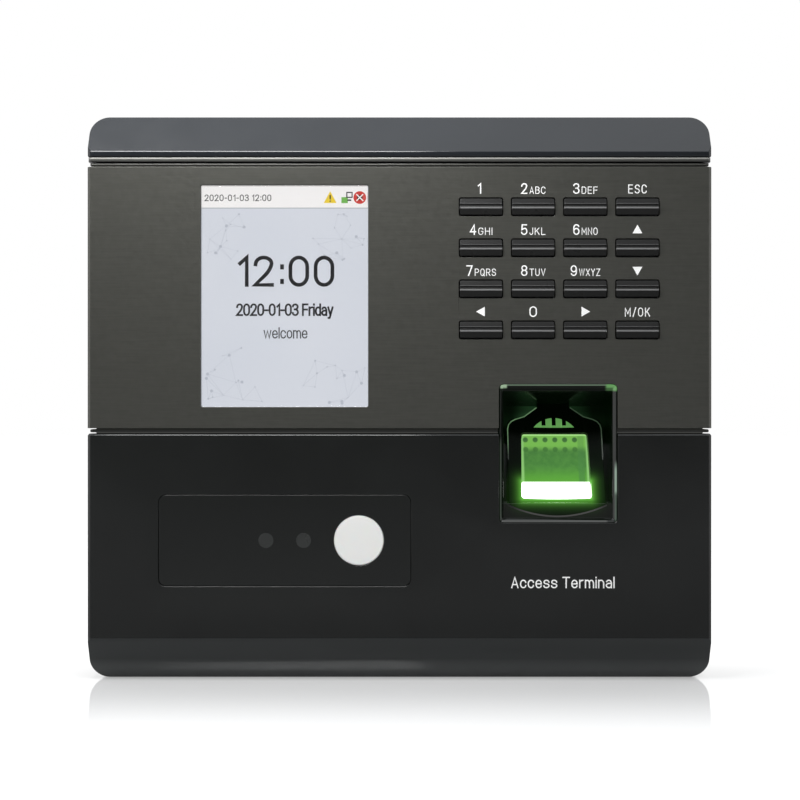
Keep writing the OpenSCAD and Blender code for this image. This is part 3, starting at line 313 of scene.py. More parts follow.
def rounded_line(stroke):
    """Points of one stroke with its marked corners turned into arcs, and whether it is closed."""
    words = stroke.split()
    closed = words[-1] == "z"
    if closed:
        words.pop()
    soft = [w.endswith("r") for w in words]
    points = [Vector([float(n) for n in w.rstrip("r").split(",")]) for w in words]
    count, line = len(points), []
    for i, point in enumerate(points):
        if not soft[i] or (not closed and i in (0, count - 1)):
            line.append(point)
            continue
        ends = []
        for j in ((i - 1) % count, (i + 1) % count):
            leg = points[j] - point
            inner = soft[j] and (closed or j not in (0, count - 1))
            ends.append(leg * min(1, 2 / leg.length, 0.5 if inner else 1))
        for step in range(ARC_STEPS + 1):
            turn = math.pi / 2 * step / ARC_STEPS
            line.append(point + ends[0] * (1 - math.sin(turn)) + ends[1] * (1 - math.cos(turn)))
    tidy = [line[0]]
    for point in line[1:]:
        if (point - tidy[-1]).length > 1e-4:
            tidy.append(point)
    if closed and (tidy[0] - tidy[-1]).length < 1e-4:
        tidy.pop()
    return tidy, closed


def draw_line(bm, line, closed, width, y0, y1):
    """A flat line of even width with mitred corners and square ends, as a thin solid."""
    count = len(line)
    if not closed:
        line = list(line)
        line[0] = line[0] + (line[0] - line[1]).normalized() * width / 2
        line[-1] = line[-1] + (line[-1] - line[-2]).normalized() * width / 2
    rings = []
    for i in range(count):
        before = line[i] - line[i - 1] if closed or i > 0 else line[1] - line[0]
        after = line[(i + 1) % count] - line[i] if closed or i < count - 1 else before
        a, b = before.normalized(), after.normalized()
        side = Vector((-a.y - b.y, a.x + b.x))
        side = side.normalized() if side.length > 1e-6 else Vector((-a.y, a.x))
        reach = width / 2 / max(side.dot(Vector((-a.y, a.x))), 0.45)
        rings.append([bm.verts.new((p.x, y, p.y)) for p, y in (
            (line[i] + side * reach, y0), (line[i] - side * reach, y0),
            (line[i] - side * reach, y1), (line[i] + side * reach, y1))])
    for i in range(count if closed else count - 1):
        here, then = rings[i], rings[(i + 1) % count]
        for j in range(4):
            bm.faces.new((here[j], here[(j + 1) % 4], then[(j + 1) % 4], then[j]))
    if not closed:
        bm.faces.new(rings[0])
        bm.faces.new(list(reversed(rings[-1])))


def letters(bm, text, x, z, height, width, weight, y0, y1, align="CENTER", gap=1.5):
    """Adds flat text: z is its base line, height that of its tall letters and weight its line width."""
    places, at = [], 0.0
    for letter in text:
        if letter == " ":
            at += 2.4
            continue
        lines = [rounded_line(stroke) for stroke in GLYPHS[letter].split("/")]
        wide = max(p.x for line, _ in lines for p in line)
        places.append((at, lines))
        at += wide + gap
    total = at - gap
    across, up = (width - weight) / total, (height - weight) / 6
    start = x + weight / 2 - {"CENTER": width / 2, "LEFT": 0, "RIGHT": width}[align]
    for offset, lines in places:
        for line, closed in lines:
            draw_line(bm, [Vector((start + (offset + p.x) * across, z + weight / 2 + p.y * up))
                        for p in line], closed, weight, y0, y1)


# ---- Finishes of the outside ----

panel = Finish("panel_metallic", (0.05, 0.05, 0.045), 0.4, Metallic=0.55, Coat_Weight=0.15,
               Coat_Roughness=0.3)
along = panel.node("Mapping", {"Vector": panel.place, "Scale": (0.04, 1, 1)}).outputs[0]
brushed = panel.remap(panel.noise(2600, 3, place=along), 0.3, 0.7, 0, 1)
panel.link("Base Color", panel.mix(brushed, (0.078, 0.078, 0.069), (0.092, 0.092, 0.08)))
panel.over(panel.remap(panel.noise(700, 5), 0.4, 0.75, 0, 0.4), (0.1, 0.1, 0.09))
panel.gloss(0.42, 900, 0.05, 4)
panel.bump(panel.noise(2200, 3, place=along), 0.006 * MM, normal=panel.grain(0.35, 0.004, 4))

cover = plastic("cover_gloss", (0.0105, 0.0115, 0.011), 0.1, size=3.5, depth=0.0012, drift=0.15,
                spread=0.03, IOR=1.5)
cap = plastic("cap_gloss", (0.012, 0.014, 0.017), 0.16, size=3.0, depth=0.001, drift=0.1, spread=0.03,
              IOR=1.5)
chassis = plastic("chassis_black", (0.012, 0.012, 0.012), 0.35)
x, y, z = chassis.node("SeparateXYZ", {0: chassis.place}).outputs
lit_front = chassis.remap(y, (FRONT + 3) * MM, (FRONT + 3.5) * MM, 1, 0)
# Painted highlights on the ribs in the groove under the cap: height, half width and colour
for at, half, colour in ((61.75, 0.45, (0.075, 0.075, 0.068)), (62.95, 0.28, (0.05, 0.05, 0.047)),
                         (63.5, 0.26, (0.28, 0.28, 0.26))):
    chassis.over(product(chassis, lit_front, near(chassis, z, at * MM, half * MM, 0.06 * MM)), colour)
# Light painted along the middle seam: height, half width, blur and colour
seam = (0, 0, 0)
for at, half, blur, colour in ((-9.43, 0.14, 0.08, (0.05, 0.051, 0.048)),
                               (-8.65, 0.3, 0.15, (0.014, 0.0145, 0.013))):
    seam = chassis.mix(near(chassis, z, at * MM, half * MM, blur * MM), seam, colour)
chassis.link("Emission Color", seam)
chassis.link("Emission Strength", lit_front)

# Painted light: the slope below the cover's front face is paler, and more so towards its lower edge, as if it
# caught the floor's light
FOOT_TOP, FOOT_LOW = -64.0, -75.2
z = cover.node("SeparateXYZ", {0: cover.place}).outputs[2]
cover.over(cover.remap(z, (FOOT_TOP - 0.3) * MM, FOOT_TOP * MM, 1, 0), (0.036, 0.039, 0.039))
cover.over(cover.remap(z, FOOT_LOW * MM, -70 * MM, 1, 0), (0.13, 0.135, 0.135))

housing = plastic("housing_grey", (0.022, 0.023, 0.025), 0.55, size=0.45, depth=0.02, spread=0.06)
bezel = plastic("bezel_gloss", (0.003, 0.0035, 0.0032), 0.12, size=3, depth=0.001, drift=0.15,
                Specular_IOR_Level=0.3)
key_dark = plastic("key_dark", (0.018, 0.018, 0.0177), 0.3, size=0.35, depth=0.003, Specular_IOR_Level=0.14)
window = plastic("smoked_window", (0.0105, 0.0115, 0.011), 0.06, size=4, depth=0.0008, spread=0.02)

lens = Finish("lens_clear", (1, 1, 1), 0.02, Transmission_Weight=1.0, IOR=1.46)
lens.bump(lens.noise(8), 0.02 * MM)

diffuse = plastic("white_diffuser", (0.8, 0.8, 0.78), 0.45, size=0.4, depth=0.002, drift=0.02,
                  Subsurface_Weight=0.2)
diffuse.set("Subsurface Scale", 1 * MM)
# Painted light: a faint white glow on the diffuser keeps it bright; the lamps behind it are not lit
diffuse.set("Emission Color", (1, 1, 0.985, 1))
diffuse.set("Emission Strength", 0.14)

zinc = metal("plate_steel", (0.52, 0.53, 0.54), 0.35, size=1.6, depth=0.006, drift=0.16, spread=0.1)
steel = metal("screw_steel", (0.6, 0.6, 0.61), 0.26)
shield = metal("shield_steel", (0.62, 0.63, 0.64), 0.3)
nickel_black = metal("nickel_black", (0.05, 0.05, 0.052), 0.3)
gold = metal("contact_gold", (0.83, 0.6, 0.22), 0.25)
flex = plastic("flex_film", (0.34, 0.15, 0.035), 0.3, size=0.8, depth=0.002)
ribbon = plastic("ribbon_film", (0.55, 0.56, 0.54), 0.45)
rubber = plastic("grey_rubber", (0.16, 0.165, 0.17), 0.6, size=0.3, depth=0.006)
jack = plastic("jack_black", (0.01, 0.01, 0.011), 0.4)
terminal = plastic("terminal_green", (0.03, 0.16, 0.05), 0.4)
speaker = plastic("speaker_grey", (0.04, 0.042, 0.045), 0.6, size=0.6, depth=0.02)
button = plastic("button_white", (0.72, 0.72, 0.68), 0.4)
camera_black = plastic("camera_black", (0.02, 0.021, 0.023), 0.3)
led_cream = plastic("led_cream", (0.75, 0.68, 0.42), 0.3)
ink = plastic("print_white", (0.86, 0.86, 0.85), 0.4, size=0.15, depth=0.001, drift=0.02)
# Painted light: the print glows faintly, which keeps it bright
ink.set("Emission Color", (1, 1, 1, 1))
ink.set("Emission Strength", 0.18)

board = Finish("board_green", (0.012, 0.08, 0.03), 0.35, Coat_Weight=0.4)
tracks = board.node("TexBrick", {"Vector": board.place, "Scale": 320, "Mortar Size": 0.06,
                                 "Color1": (0.010, 0.075, 0.027, 1), "Color2": (0.014, 0.095, 0.035, 1),
                                 "Mortar": (0.03, 0.16, 0.06, 1)})
board.link("Base Color", tracks.outputs["Color"])
board.gloss(0.35, 200, 0.06)
board.bump(tracks.outputs["Fac"], 0.02 * MM)


# ---- Display ----

SCREEN_Y = span("lcd_panel")[0].y
lens_low, lens_high = span("display_lens")

screen = Finish("screen", (0.02, 0.02, 0.02), 0.4)
wash = screen.remap(screen.noise(30, 1.5), 0.3, 0.7, 0, 1)
screen.link("Emission Color", screen.mix(wash, (0.645, 0.675, 0.742), (0.68, 0.705, 0.765)))
screen.set("Emission Strength", 1.0)
dress(screen, "lcd_panel")


def light(name, colour):
    """Part of the picture on the display: mostly its own light, with a faint pixel grid."""
    made = Finish(name, (0.02, 0.02, 0.02), 0.4)
    grid = made.node("TexWave", {"Vector": made.place, "Scale": 900}, bands_direction="Z")
    made.link("Emission Color", made.mix(grid.outputs["Fac"], tuple(c * 0.98 for c in colour), colour))
    made.set("Emission Strength", 1.0)
    return made


# ---- Dress the CAD nodes ----

dress(panel, "front_panel")
dress(cover, "lower_cover")
dress(cap, "top_cap")
dress(chassis, "front_chassis")
dress(housing, "rear_housing")
dress(zinc, "wall_plate")
dress(steel, "lock_screw", "housing_screws", "board_screws")
dress(lens, "display_lens")
dress(shield, "lcd_frame", "ethernet_jack", "usb_port", "coin_cell")
dress(flex, "lcd_flex", "camera_flex", "sensor_flex")
dress(ribbon, "keypad_ribbon")
dress(rubber, "keypad_membrane")
dress(board, "keypad_board", "camera_board", "sensor_board", "main_board", "usb_board")
dress(window, "camera_window")
dress(camera_black, "left_camera", "right_camera", "sensor_camera")
dress(diffuse, "light_diffuser")
dress(led_cream, "fill_leds")
dress(bezel, "sensor_bezel")
dress(jack, "power_jack", "cell_holder", "tamper_switch", "sensor_case")
dress(terminal, "terminal_block")
dress(speaker, "speaker_unit")
dress(button, "reset_button", "tamper_plunger")
dress(key_dark, *KEYS)
# Paler bands along each key's ridge and along the edge above its groove, painted as light would catch them
row_z, row_pitch = middle("key_1").z, middle("key_1").z - middle("key_4").z
z = key_dark.node("SeparateXYZ", {0: key_dark.place}).outputs[2]
turns = key_dark.math("DIVIDE", key_dark.math("SUBTRACT", z, (row_z - 10.5 * row_pitch) * MM), row_pitch * MM)
rise = key_dark.math("MULTIPLY", key_dark.math("SUBTRACT", key_dark.math("FRACT", turns), 0.5), row_pitch)
key_dark.over(near(key_dark, rise, -0.25, 0.14, 0.14), (0.24, 0.24, 0.24))
key_dark.over(near(key_dark, rise, 0.82, 0.08, 0.1), (0.1, 0.1, 0.1))

UNMERGED = ("sensor_bezel", "finger_guide", "front_chassis")
for node, width in {"front_panel": 0.12, "lower_cover": 0.2, "top_cap": 0.25, "front_chassis": 0.3,
                    "wall_plate": 0.15, "display_lens": 0.12, "camera_window": 0.2,
                    "light_diffuser": 0.25, "sensor_bezel": 0.12, "finger_guide": 0.1,
                    "sensor_prism": 0.25, "lock_screw": 0.15, "housing_screws": 0.15}.items():
    soften(node, width, merge=node not in UNMERGED)
for node in KEYS:
    soften(node, 0.1)
# The rear housing keeps its sharp edges, because rounding them tears its pocketed back
for node in NODES:
    if node != "rear_housing" and not NODES[node].modifiers:
        soften(node, 0.08)


# ---- Fingerprint sensor ----

# The glass has its own axes: U across it, V up its slope and W out of its face
glass_low, glass_high = span("sensor_prism")
SLOPE = math.radians(24)
GLASS_FACE_H = 18.8
GLASS_MIDDLE = Vector((middle("sensor_prism").x, glass_low.y + GLASS_FACE_H / 2 * math.sin(SLOPE),
                       glass_high.z - GLASS_FACE_H / 2 * math.cos(SLOPE)))
GLASS_AXES = (Vector((1, 0, 0)), Vector((0, math.sin(SLOPE), math.cos(SLOPE))),
              Vector((0, -math.cos(SLOPE), math.sin(SLOPE))))
GUIDE_W = 0.3
RAMP_W = -3.0


def glass_place(finish):
    """Place on the glass's axes, in millimetres from the middle of its face."""
    moved = finish.node("VectorMath", {0: finish.place, 1: GLASS_MIDDLE * MM}, operation="SUBTRACT")
    return [finish.node("VectorMath", {0: moved.outputs[0], 1: axis / MM}, operation="DOT_PRODUCT").outputs[1]
            for axis in GLASS_AXES]


# The glass's green is painted light: emission standing in for the glow of the sensor's lamp inside it,
# brighter at its foot, its top, its sides and its upper rim
prism = Finish("sensor_glass", (0.03, 0.09, 0.02), 0.1, IOR=1.45)
prism.set("Specular IOR Level", 0.25)
u, v, w = glass_place(prism)
cloud = prism.remap(prism.noise(700, 4), 0.35, 0.65, 0, 1)
green = prism.mix(cloud, (0.042, 0.15, 0.03), (0.06, 0.195, 0.037))
low_glow = prism.remap(v, 0.5, -4.5, 0, 1, smooth=True)
green = prism.mix(low_glow, green, (0.088, 0.31, 0.032))
top_glow = prism.remap(v, 4.0, 6.2, 0, 1, smooth=True)
green = prism.mix(top_glow, green, (0.16, 0.43, 0.065))
# Painted: a duller strip of glow down the right of the face
dull = product(prism, near(prism, u, 7.1, 0.6, 0.5), prism.remap(v, -5, 6, 0.75, 0.35))
green = prism.mix(dull, green, (0.05, 0.17, 0.045))
edge = prism.remap(prism.math("ABSOLUTE", u), 8.2, 8.75, 0, 1, smooth=True)
green = prism.mix(edge, green, (0.24, 0.52, 0.16))
rim = prism.remap(v, 8.7, 9.1, 0, 1, smooth=True)
green = prism.mix(rim, green, (0.4, 0.76, 0.26))
# Two rows of dark dots under the top edge
DOT_PITCH, DOT_ROW = 2.68, 2.85
cell_u = prism.math("SUBTRACT", prism.math("FRACT", prism.math("DIVIDE", prism.math(
    "ADD", u, 7.9 + 100.5 * DOT_PITCH), DOT_PITCH)), 0.5)
cell_v = prism.math("SUBTRACT", prism.math("FRACT", prism.math("DIVIDE", prism.math(
    "ADD", v, 100.5 * DOT_ROW - 7.7), DOT_ROW)), 0.5)
radius = prism.math("SQRT", prism.math("ADD", prism.math("POWER", cell_u, 2.0), prism.math(
    "POWER", cell_v, 2.0)))
dot = product(prism, prism.remap(radius, 0.2, 0.32, 1, 0, smooth=True),
              prism.remap(v, 3.4, 4.4, 0, 1), prism.remap(v, 8.9, 9.2, 1, 0),
              prism.remap(u, 6.4, 6.7, 1, 0), prism.remap(v, 4.0, 8.0, 0.55, 0.95))
green = prism.mix(dot, green, (0.02, 0.09, 0.018))
strip = prism.remap(v, -4.45, -4.8, 0, 1, smooth=True)
prism.link("Emission Color", prism.mix(strip, green, (0.96, 1.0, 0.93)))
prism.link("Emission Strength", prism.remap(strip, 0, 1, 1, 4))
dress(prism, "sensor_prism")

# Black, with a faint green in its colour: a painted sheen of the glass's green light
guide = Finish("guide_black", (0.002, 0.006, 0.002), 0.2, Specular_IOR_Level=0.05)
u, v, w = glass_place(guide)
guide.gloss(0.22, 200, 0.05)
guide.grain(0.6, 0.002)


def halo(finish, u, v):
    """Light painted round the bright strip at the glass's foot, halved over each 0.62 mm."""
    across = finish.math("MAXIMUM", finish.math("SUBTRACT", finish.math("ABSOLUTE", u), 9.1), 0.0)
    away = finish.math("MAXIMUM", finish.math("SUBTRACT", finish.math("ABSOLUTE", finish.math(
        "ADD", v, 7.2)), 2.4), 0.0)
    far = finish.math("SQRT", finish.math("ADD", finish.math("POWER", across, 2.0), finish.math(
        "POWER", away, 2.0)))
    return finish.math("POWER", 0.5, finish.math("DIVIDE", far, 0.62))


GLOW_GREEN = (0.22, 0.8, 0.09)
# Painted light on the walls of the half-round window as well
inside = product(guide, guide.remap(w, 0.0, 0.25, 1, 0), near(guide, v, 12.5, 2.6, 0.2),
                 near(guide, u, 0, 7, 0.2))
lit_guide = guide.mix(inside, (0, 0, 0), (0.1, 0.28, 0.075))
guide.link("Emission Color", guide.mix(guide.math("MULTIPLY", halo(guide, u, v), 0.8), lit_guide, GLOW_GREEN))
guide.set("Emission Strength", 1.0)
dress(guide, "finger_guide")

# Painted light on the ramp behind the guide, at its top corners and behind the small half-round window, over
# a faint green glow on all of the bezel
u, v, w = glass_place(bezel)
x, y, z = bezel.node("SeparateXYZ", {0: bezel.place}).outputs
on_ramp = near(bezel, w, RAMP_W, 0.25, 0.1)
side = bezel.math("ABSOLUTE", u)
corner = product(bezel, on_ramp, bezel.remap(v, 12, 14, 0, 1), bezel.remap(v, 14.5, 17.5, 1, 0.3),
                 bezel.remap(u, -6, 6, 1, 0.6), bezel.remap(side, 11.5, 5, 0.06, 1, smooth=True))
moon = product(bezel, on_ramp, near(bezel, u, 0, 7.2, 0.3), near(bezel, v, 13, 2, 0.2))
spill = bezel.mix(moon, bezel.mix(corner, (0, 0.001, 0), (0.03, 0.095, 0.035)), (0.11, 0.3, 0.08))
# Light painted on the rim of the opening: colour, then middle, half width and blur across and up
lip = bezel.remap(y, (FRONT + 0.9) * MM, (FRONT + 1.4) * MM, 1, 0)
OPENING_X, OPENING_TOP, OPENING_HALF = 42.2, 3.2, 15.3
OPENING_LEFT, OPENING_RIGHT = OPENING_X - OPENING_HALF, OPENING_X + OPENING_HALF
CHIN_Y, CHIN_Z = FRONT + 2.6, -33.05
GLINTS = (
    ((0.1, 0.145, 0.1), (OPENING_X - 1, 14, 3), (OPENING_TOP, 0.16, 0.1)),
    ((0.12, 0.3, 0.1), (OPENING_RIGHT - 1, 1, 1), (OPENING_TOP - 0.5, 0.7, 0.7)),
    ((0.3, 0.42, 0.28), (OPENING_LEFT + 0.8, 0.6, 0.5), (OPENING_TOP - 0.4, 0.3, 0.4)),
    ((0.22, 0.3, 0.24), (OPENING_RIGHT, 0.22, 0.12), (-22.5, 2.5, 3.5)),
    ((0.04, 0.06, 0.045), (OPENING_RIGHT, 0.22, 0.12), (-29.5, 3, 2)),
    ((0.03, 0.04, 0.03), (OPENING_LEFT, 0.2, 0.12), (-22, 9, 3)),
    ((0.06, 0.062, 0.06), (OPENING_X - 1, 13.5, 1), (CHIN_Z, 0.2, 0.12)),
)
for colour, across, up in GLINTS:
    across, up = [[n * MM for n in band] for band in (across, up)]
    spill = bezel.mix(product(bezel, lip, near(bezel, x, *across), near(bezel, z, *up)), spill, colour)
# Faint painted light on the face of the chin
spill = bezel.mix(near(bezel, y, CHIN_Y * MM, 0.06 * MM, 0.05 * MM), spill, (0.008, 0.0083, 0.0078))
near_strip = product(bezel, bezel.remap(w, 2.0, 2.4, 1, 0), halo(bezel, u, v))
bezel.link("Emission Color", bezel.mix(near_strip, spill, GLOW_GREEN))
bezel.set("Emission Strength", 1.0)

strip_light = Finish("led_strip", (0.8, 0.85, 0.75), 0.4)
strip_light.tone((0.8, 0.85, 0.75), 300, 0.05)
strip_light.set("Emission Color", (0.7, 1, 0.6, 1))
strip_light.set("Emission Strength", 2.0)
dress(strip_light, "sensor_light")

# Thin glowing strips painted as the bright edges of the finger guide, lit from behind, and of the chin where
# the finger dish cuts it
DISH_R = 72.0


def dish(u):
    """Height of the finger dish's side above its middle."""
    return DISH_R - math.sqrt(DISH_R ** 2 - u ** 2)


TILT = Matrix.Translation(GLASS_MIDDLE) @ Matrix.Rotation(-SLOPE, 4, "X")
# Half of the guide's upper outline, from its side up to its neck, as U and V
RIM_LINE = [(12.75, 1.5), (12.75, 6), (12.75, 10.3), (12.45, 11.6), (11.7, 12.6), (10.6, 13.3),
            (8.1, 14.25), (4.7, 17.0)]
for name, mirror, colour in (("guide_edge_glint_left", -1, (0.1, 0.19, 0.09)),
                             ("guide_edge_glint_right", 1, (0.03, 0.055, 0.03))):
    bm = bmesh.new()
    draw_line(bm, [Vector((mirror * a, b)) for a, b in RIM_LINE], False, 0.28, -0.04, 0.08)
    for vert in bm.verts:
        vert.co.y -= GUIDE_W + dish(vert.co.x)
    bm.transform(TILT)
    glow = Finish(name, (0.02, 0.03, 0.02), 0.3)
    u, v, w = glass_place(glow)
    glow.set("Emission Color", (*colour, 1))
    glow.link("Emission Strength", product(glow, glow.remap(v, 1.5, 8, 0, 1, smooth=True),
                                           glow.remap(glow.noise(600), 0.3, 0.7, 0.8, 1.2)))
    piece(name, bm, glow)

CHIN_HALF, CHIN_STEPS = 13, 24
chin_line = []
for step in range(CHIN_STEPS + 1):
    u = CHIN_HALF * (2 * step / CHIN_STEPS - 1)
    w = GUIDE_W + dish(u)
    v = (CHIN_Y - GLASS_MIDDLE.y + w * math.cos(SLOPE)) / math.sin(SLOPE)
    chin_line.append(Vector((GLASS_MIDDLE.x + u, GLASS_MIDDLE.z + v * math.cos(SLOPE) + w * math.sin(SLOPE))))
bm = bmesh.new()
draw_line(bm, chin_line, False, 0.42, CHIN_Y - 0.05, CHIN_Y + 0.1)
chin_edge_glint = plastic("chin_edge_glint", (0.02, 0.02, 0.02), 0.25)
x = chin_edge_glint.node("SeparateXYZ", {0: chin_edge_glint.place}).outputs[0]
chin_edge_glint.set("Emission Color", (0.045, 0.045, 0.043, 1))
chin_edge_glint.link("Emission Strength", near(chin_edge_glint, x, (GLASS_MIDDLE.x + 1) * MM, 8 * MM, 6 * MM))
piece("chin_edge_glint", bm, chin_edge_glint)


# ---- Printing on the front ----

INK_Y0 = FRONT - 0.02
INK_Y1 = FRONT + 0.01
LEGENDS = {
    "key_1": ("1", ""), "key_2": ("2", "ABC"), "key_3": ("3", "DEF"), "key_esc": ("", "ESC"),
    "key_4": ("4", "GHI"), "key_5": ("5", "JKL"), "key_6": ("6", "MNO"), "key_up": ("", 90),
    "key_7": ("7", "PQRS"), "key_8": ("8", "TUV"), "key_9": ("9", "WXYZ"), "key_down": ("", 270),
    "key_left": ("", 180), "key_0": ("0", ""), "key_right": ("", 0), "key_ok": ("", "M|OK"),
}
# Height of a legend's base line over its key's middle, and heights of its digit and its letters
LEGEND_RISE = 3.45
DIGIT_H = 2.85
SMALL_H = 1.95

bm = bmesh.new()
for node, (digit, small) in LEGENDS.items():
    at = middle(node)
    base = at.z + LEGEND_RISE
    if isinstance(small, int):
        turn = math.radians(small)
        corners = [(1.3, 0), (-1.0, 1.3), (-1.0, -1.3)]
        plate(bm, [(at.x + a * math.cos(turn) - b * math.sin(turn),
                    base + DIGIT_H / 2 + a * math.sin(turn) + b * math.cos(turn)) for a, b in corners],
              INK_Y0, INK_Y1)
    elif digit and small:
        width = 1.38 * len(small) + (0.1 if "I" not in small else -0.4)
        left = at.x - (2.2 + width) / 2
        letters(bm, digit, left, base, DIGIT_H, 1.7, 0.33, INK_Y0, INK_Y1, "LEFT")
        letters(bm, small, left + 2.25, base, SMALL_H, width, 0.2, INK_Y0, INK_Y1, "LEFT", gap=2.3)
    elif digit:
        letters(bm, digit, at.x - (0.5 if digit == "1" else 0), base, DIGIT_H, 1.1 if digit == "1" else 2.0,
                0.33, INK_Y0, INK_Y1)
    else:
        letters(bm, small, at.x, base + 0.1, 2.4, 4.9 if len(small) == 3 else 6.7, 0.25,
                INK_Y0, INK_Y1, gap=2.7)
piece("key_legends", bm, ink)

bm = bmesh.new()
letters(bm, "Access Terminal", middle("sensor_bezel").x + 1.2, -50.8, 3.05, 27.5, 0.34, INK_Y0, INK_Y1,
        gap=1.7)
piece("front_print", bm, ink)


# ---- Picture on the display ----

PICTURE_Y0 = SCREEN_Y - 0.05
PICTURE_Y1 = SCREEN_Y + 0.02
BAR_H = 5.8
left, right, top = lens_low.x, lens_high.x, lens_high.z
text_dark = light("picture_dark", (0.004, 0.004, 0.006))
bar_white = light("picture_white", (0.92, 0.9, 0.895))
line_grey = light("picture_line", (0.4, 0.42, 0.46))
mark_yellow = light("picture_yellow", (0.85, 0.62, 0.03))
mark_green = light("picture_green", (0.16, 0.45, 0.08))
mark_red = light("picture_red", (0.6, 0.04, 0.03))


def picture_piece(name, finish, outlines, y0, y1):
    """One part of the picture, made of flat outlines."""
    bm = bmesh.new()
    for outline in outlines:
        plate(bm, outline, y0, y1)
    piece(name, bm, finish)


DETAIL_Y0 = PICTURE_Y0 - 0.04
TEXT_Y1 = PICTURE_Y0 + 0.02
picture_piece("status_bar", bar_white, [rectangle(left, right, top - BAR_H, top)], PICTURE_Y0, PICTURE_Y1)
picture_piece("status_line", line_grey, [rectangle(left, right, top - BAR_H - 0.12, top - BAR_H + 0.1)],
              DETAIL_Y0, PICTURE_Y1)

bm = bmesh.new()
letters(bm, "2020-01-03 12:00", left + 0.7, top - 3.95, 1.75, 17.8, 0.22, DETAIL_Y0, TEXT_Y1, "LEFT",
        gap=2.2)
# Text, the middle of its line, its base line, and its height, width, line weight and gap
for text, x, z, height, width, weight, gap in (("12:00", -30.5, 29.4, 8.3, 26.2, 1.0, 2.0),
                                               ("2020-01-03 Friday", -30.6, 21.6, 3.35, 26.0, 0.5, 1.5),
                                               ("welcome", -30.4, 15.6, 3.0, 11.7, 0.3, 1.4)):
    letters(bm, text, x, z, height, width, weight, DETAIL_Y0, TEXT_Y1, gap=gap)
piece("picture_text", bm, text_dark)

# Faint web of dots and lines in the picture's upper and lower corners
draw = random.Random(7)
picture_low, picture_high = lens_low.z, top - BAR_H - 0.4
fields = [(left, left + 17, picture_low, picture_low + 17),
          (right - 20, right, picture_low, picture_low + 13),
          (left, left + 12, picture_high - 14, picture_high),
          (right - 17, right, picture_high - 15, picture_high)]
faint = light("picture_web", (0.47, 0.5, 0.57))
bm = bmesh.new()
for x0, x1, z0, z1 in fields:
    spots = [(draw.uniform(x0 + 0.6, x1 - 0.6), draw.uniform(z0 + 0.6, z1 - 0.6)) for _ in range(16)]
    for i, (x, z) in enumerate(spots):
        closest = sorted(spots[:i], key=lambda o: math.hypot(o[0] - x, o[1] - z))[:2]
        for other in closest:
            if math.hypot(other[0] - x, other[1] - z) < 8:
                plate(bm, stroke(x, z, other[0], other[1], 0.06), DETAIL_Y0 + 0.02, TEXT_Y1)
        plate(bm, disc(x, z, draw.choice((0.16, 0.2, 0.28, 0.42)), 10), DETAIL_Y0 + 0.01, TEXT_Y1)
piece("picture_web", bm, faint)

# Three small status marks: a warning triangle, two screens and a crossed ring
mark_x, mark_z = right - 10.0, top - BAR_H / 2 - 0.1
link_x, alarm_x = mark_x + 4.5, mark_x + 7.9
MARK_Y0 = DETAIL_Y0 - 0.03
picture_piece("status_warning", mark_yellow, [
    [(mark_x - 1.7, mark_z - 1.45), (mark_x + 1.7, mark_z - 1.45), (mark_x, mark_z + 1.7)],
], DETAIL_Y0, PICTURE_Y1)
picture_piece("status_link", mark_green, [
    rectangle(link_x - 1.5, link_x + 0.2, mark_z - 1.5, mark_z + 0.1),
], DETAIL_Y0, PICTURE_Y1)
picture_piece("status_alarm", mark_red, [disc(alarm_x, mark_z, 1.7, 24)], DETAIL_Y0, PICTURE_Y1)
picture_piece("status_details", text_dark, [
    rectangle(mark_x - 0.18, mark_x + 0.18, mark_z - 0.5, mark_z + 0.7),
    rectangle(mark_x - 0.18, mark_x + 0.18, mark_z - 1.15, mark_z - 0.8),
    rectangle(link_x - 0.2, link_x + 1.5, mark_z - 0.1, mark_z + 1.5),
    rectangle(link_x + 0.1, link_x + 1.1, mark_z - 0.9, mark_z - 0.5),
    disc(alarm_x, mark_z, 0.75, 16),
], MARK_Y0, DETAIL_Y0 + 0.02)
picture_piece("status_glints", bar_white, [
    rectangle(link_x + 0.1, link_x + 1.2, mark_z + 0.2, mark_z + 1.2),
    stroke(alarm_x - 0.9, mark_z - 0.9, alarm_x + 0.9, mark_z + 0.9, 0.3),
    stroke(alarm_x - 0.9, mark_z + 0.9, alarm_x + 0.9, mark_z - 0.9, 0.3),
], MARK_Y0 - 0.02, MARK_Y0 + 0.02)


# ---- Camera window ----

WINDOW_Y = span("camera_window")[0].y
DISC_STEPS = 40
# Radius of each ring of a lens's flat dome and how far it stands off the window
DISC_RINGS = [(2.0, 0.0), (1.7, 0.02), (0.9, 0.035), (0.0, 0.04)]
disc_finish = plastic("lens_disc", (0.035, 0.037, 0.036), 0.25, size=0.4, depth=0.002)
for name in ("left_camera", "right_camera"):
    at = middle(name)
    bm = bmesh.new()
    loops = [[bm.verts.new((x, WINDOW_Y - rise, z)) for x, z in disc(at.x, at.z, radius, DISC_STEPS)]
             for radius, rise in DISC_RINGS[:-1]]
    tip = bm.verts.new((at.x, WINDOW_Y - DISC_RINGS[-1][1], at.z))
    for i in range(DISC_STEPS):
        j = (i + 1) % DISC_STEPS
        for a, b in zip(loops, loops[1:]):
            bm.faces.new((a[i], a[j], b[j], b[i]))
        bm.faces.new((loops[-1][i], loops[-1][j], tip))
    piece(name + "_disc", bm, disc_finish, smooth=True)


# ---- Floor, light and world ----

bm = bmesh.new()
FLOOR_HALF = 3000
bmesh.ops.create_grid(bm, x_segments=1, y_segments=1, size=FLOOR_HALF * MM)
floor_mesh = bpy.data.meshes.new("floor")
bm.to_mesh(floor_mesh)
bm.free()
floor = bpy.data.objects.new("floor", floor_mesh)
floor.location.z = (FLOOR_Z - 0.05) * MM
bpy.context.scene.collection.objects.link(floor)

pale = Finish("floor_pale", (0.5, 0.5, 0.5), 0.6)
pale.set("Specular IOR Level", 0.0)
pale.set("Emission Color", (1, 1, 1, 1))
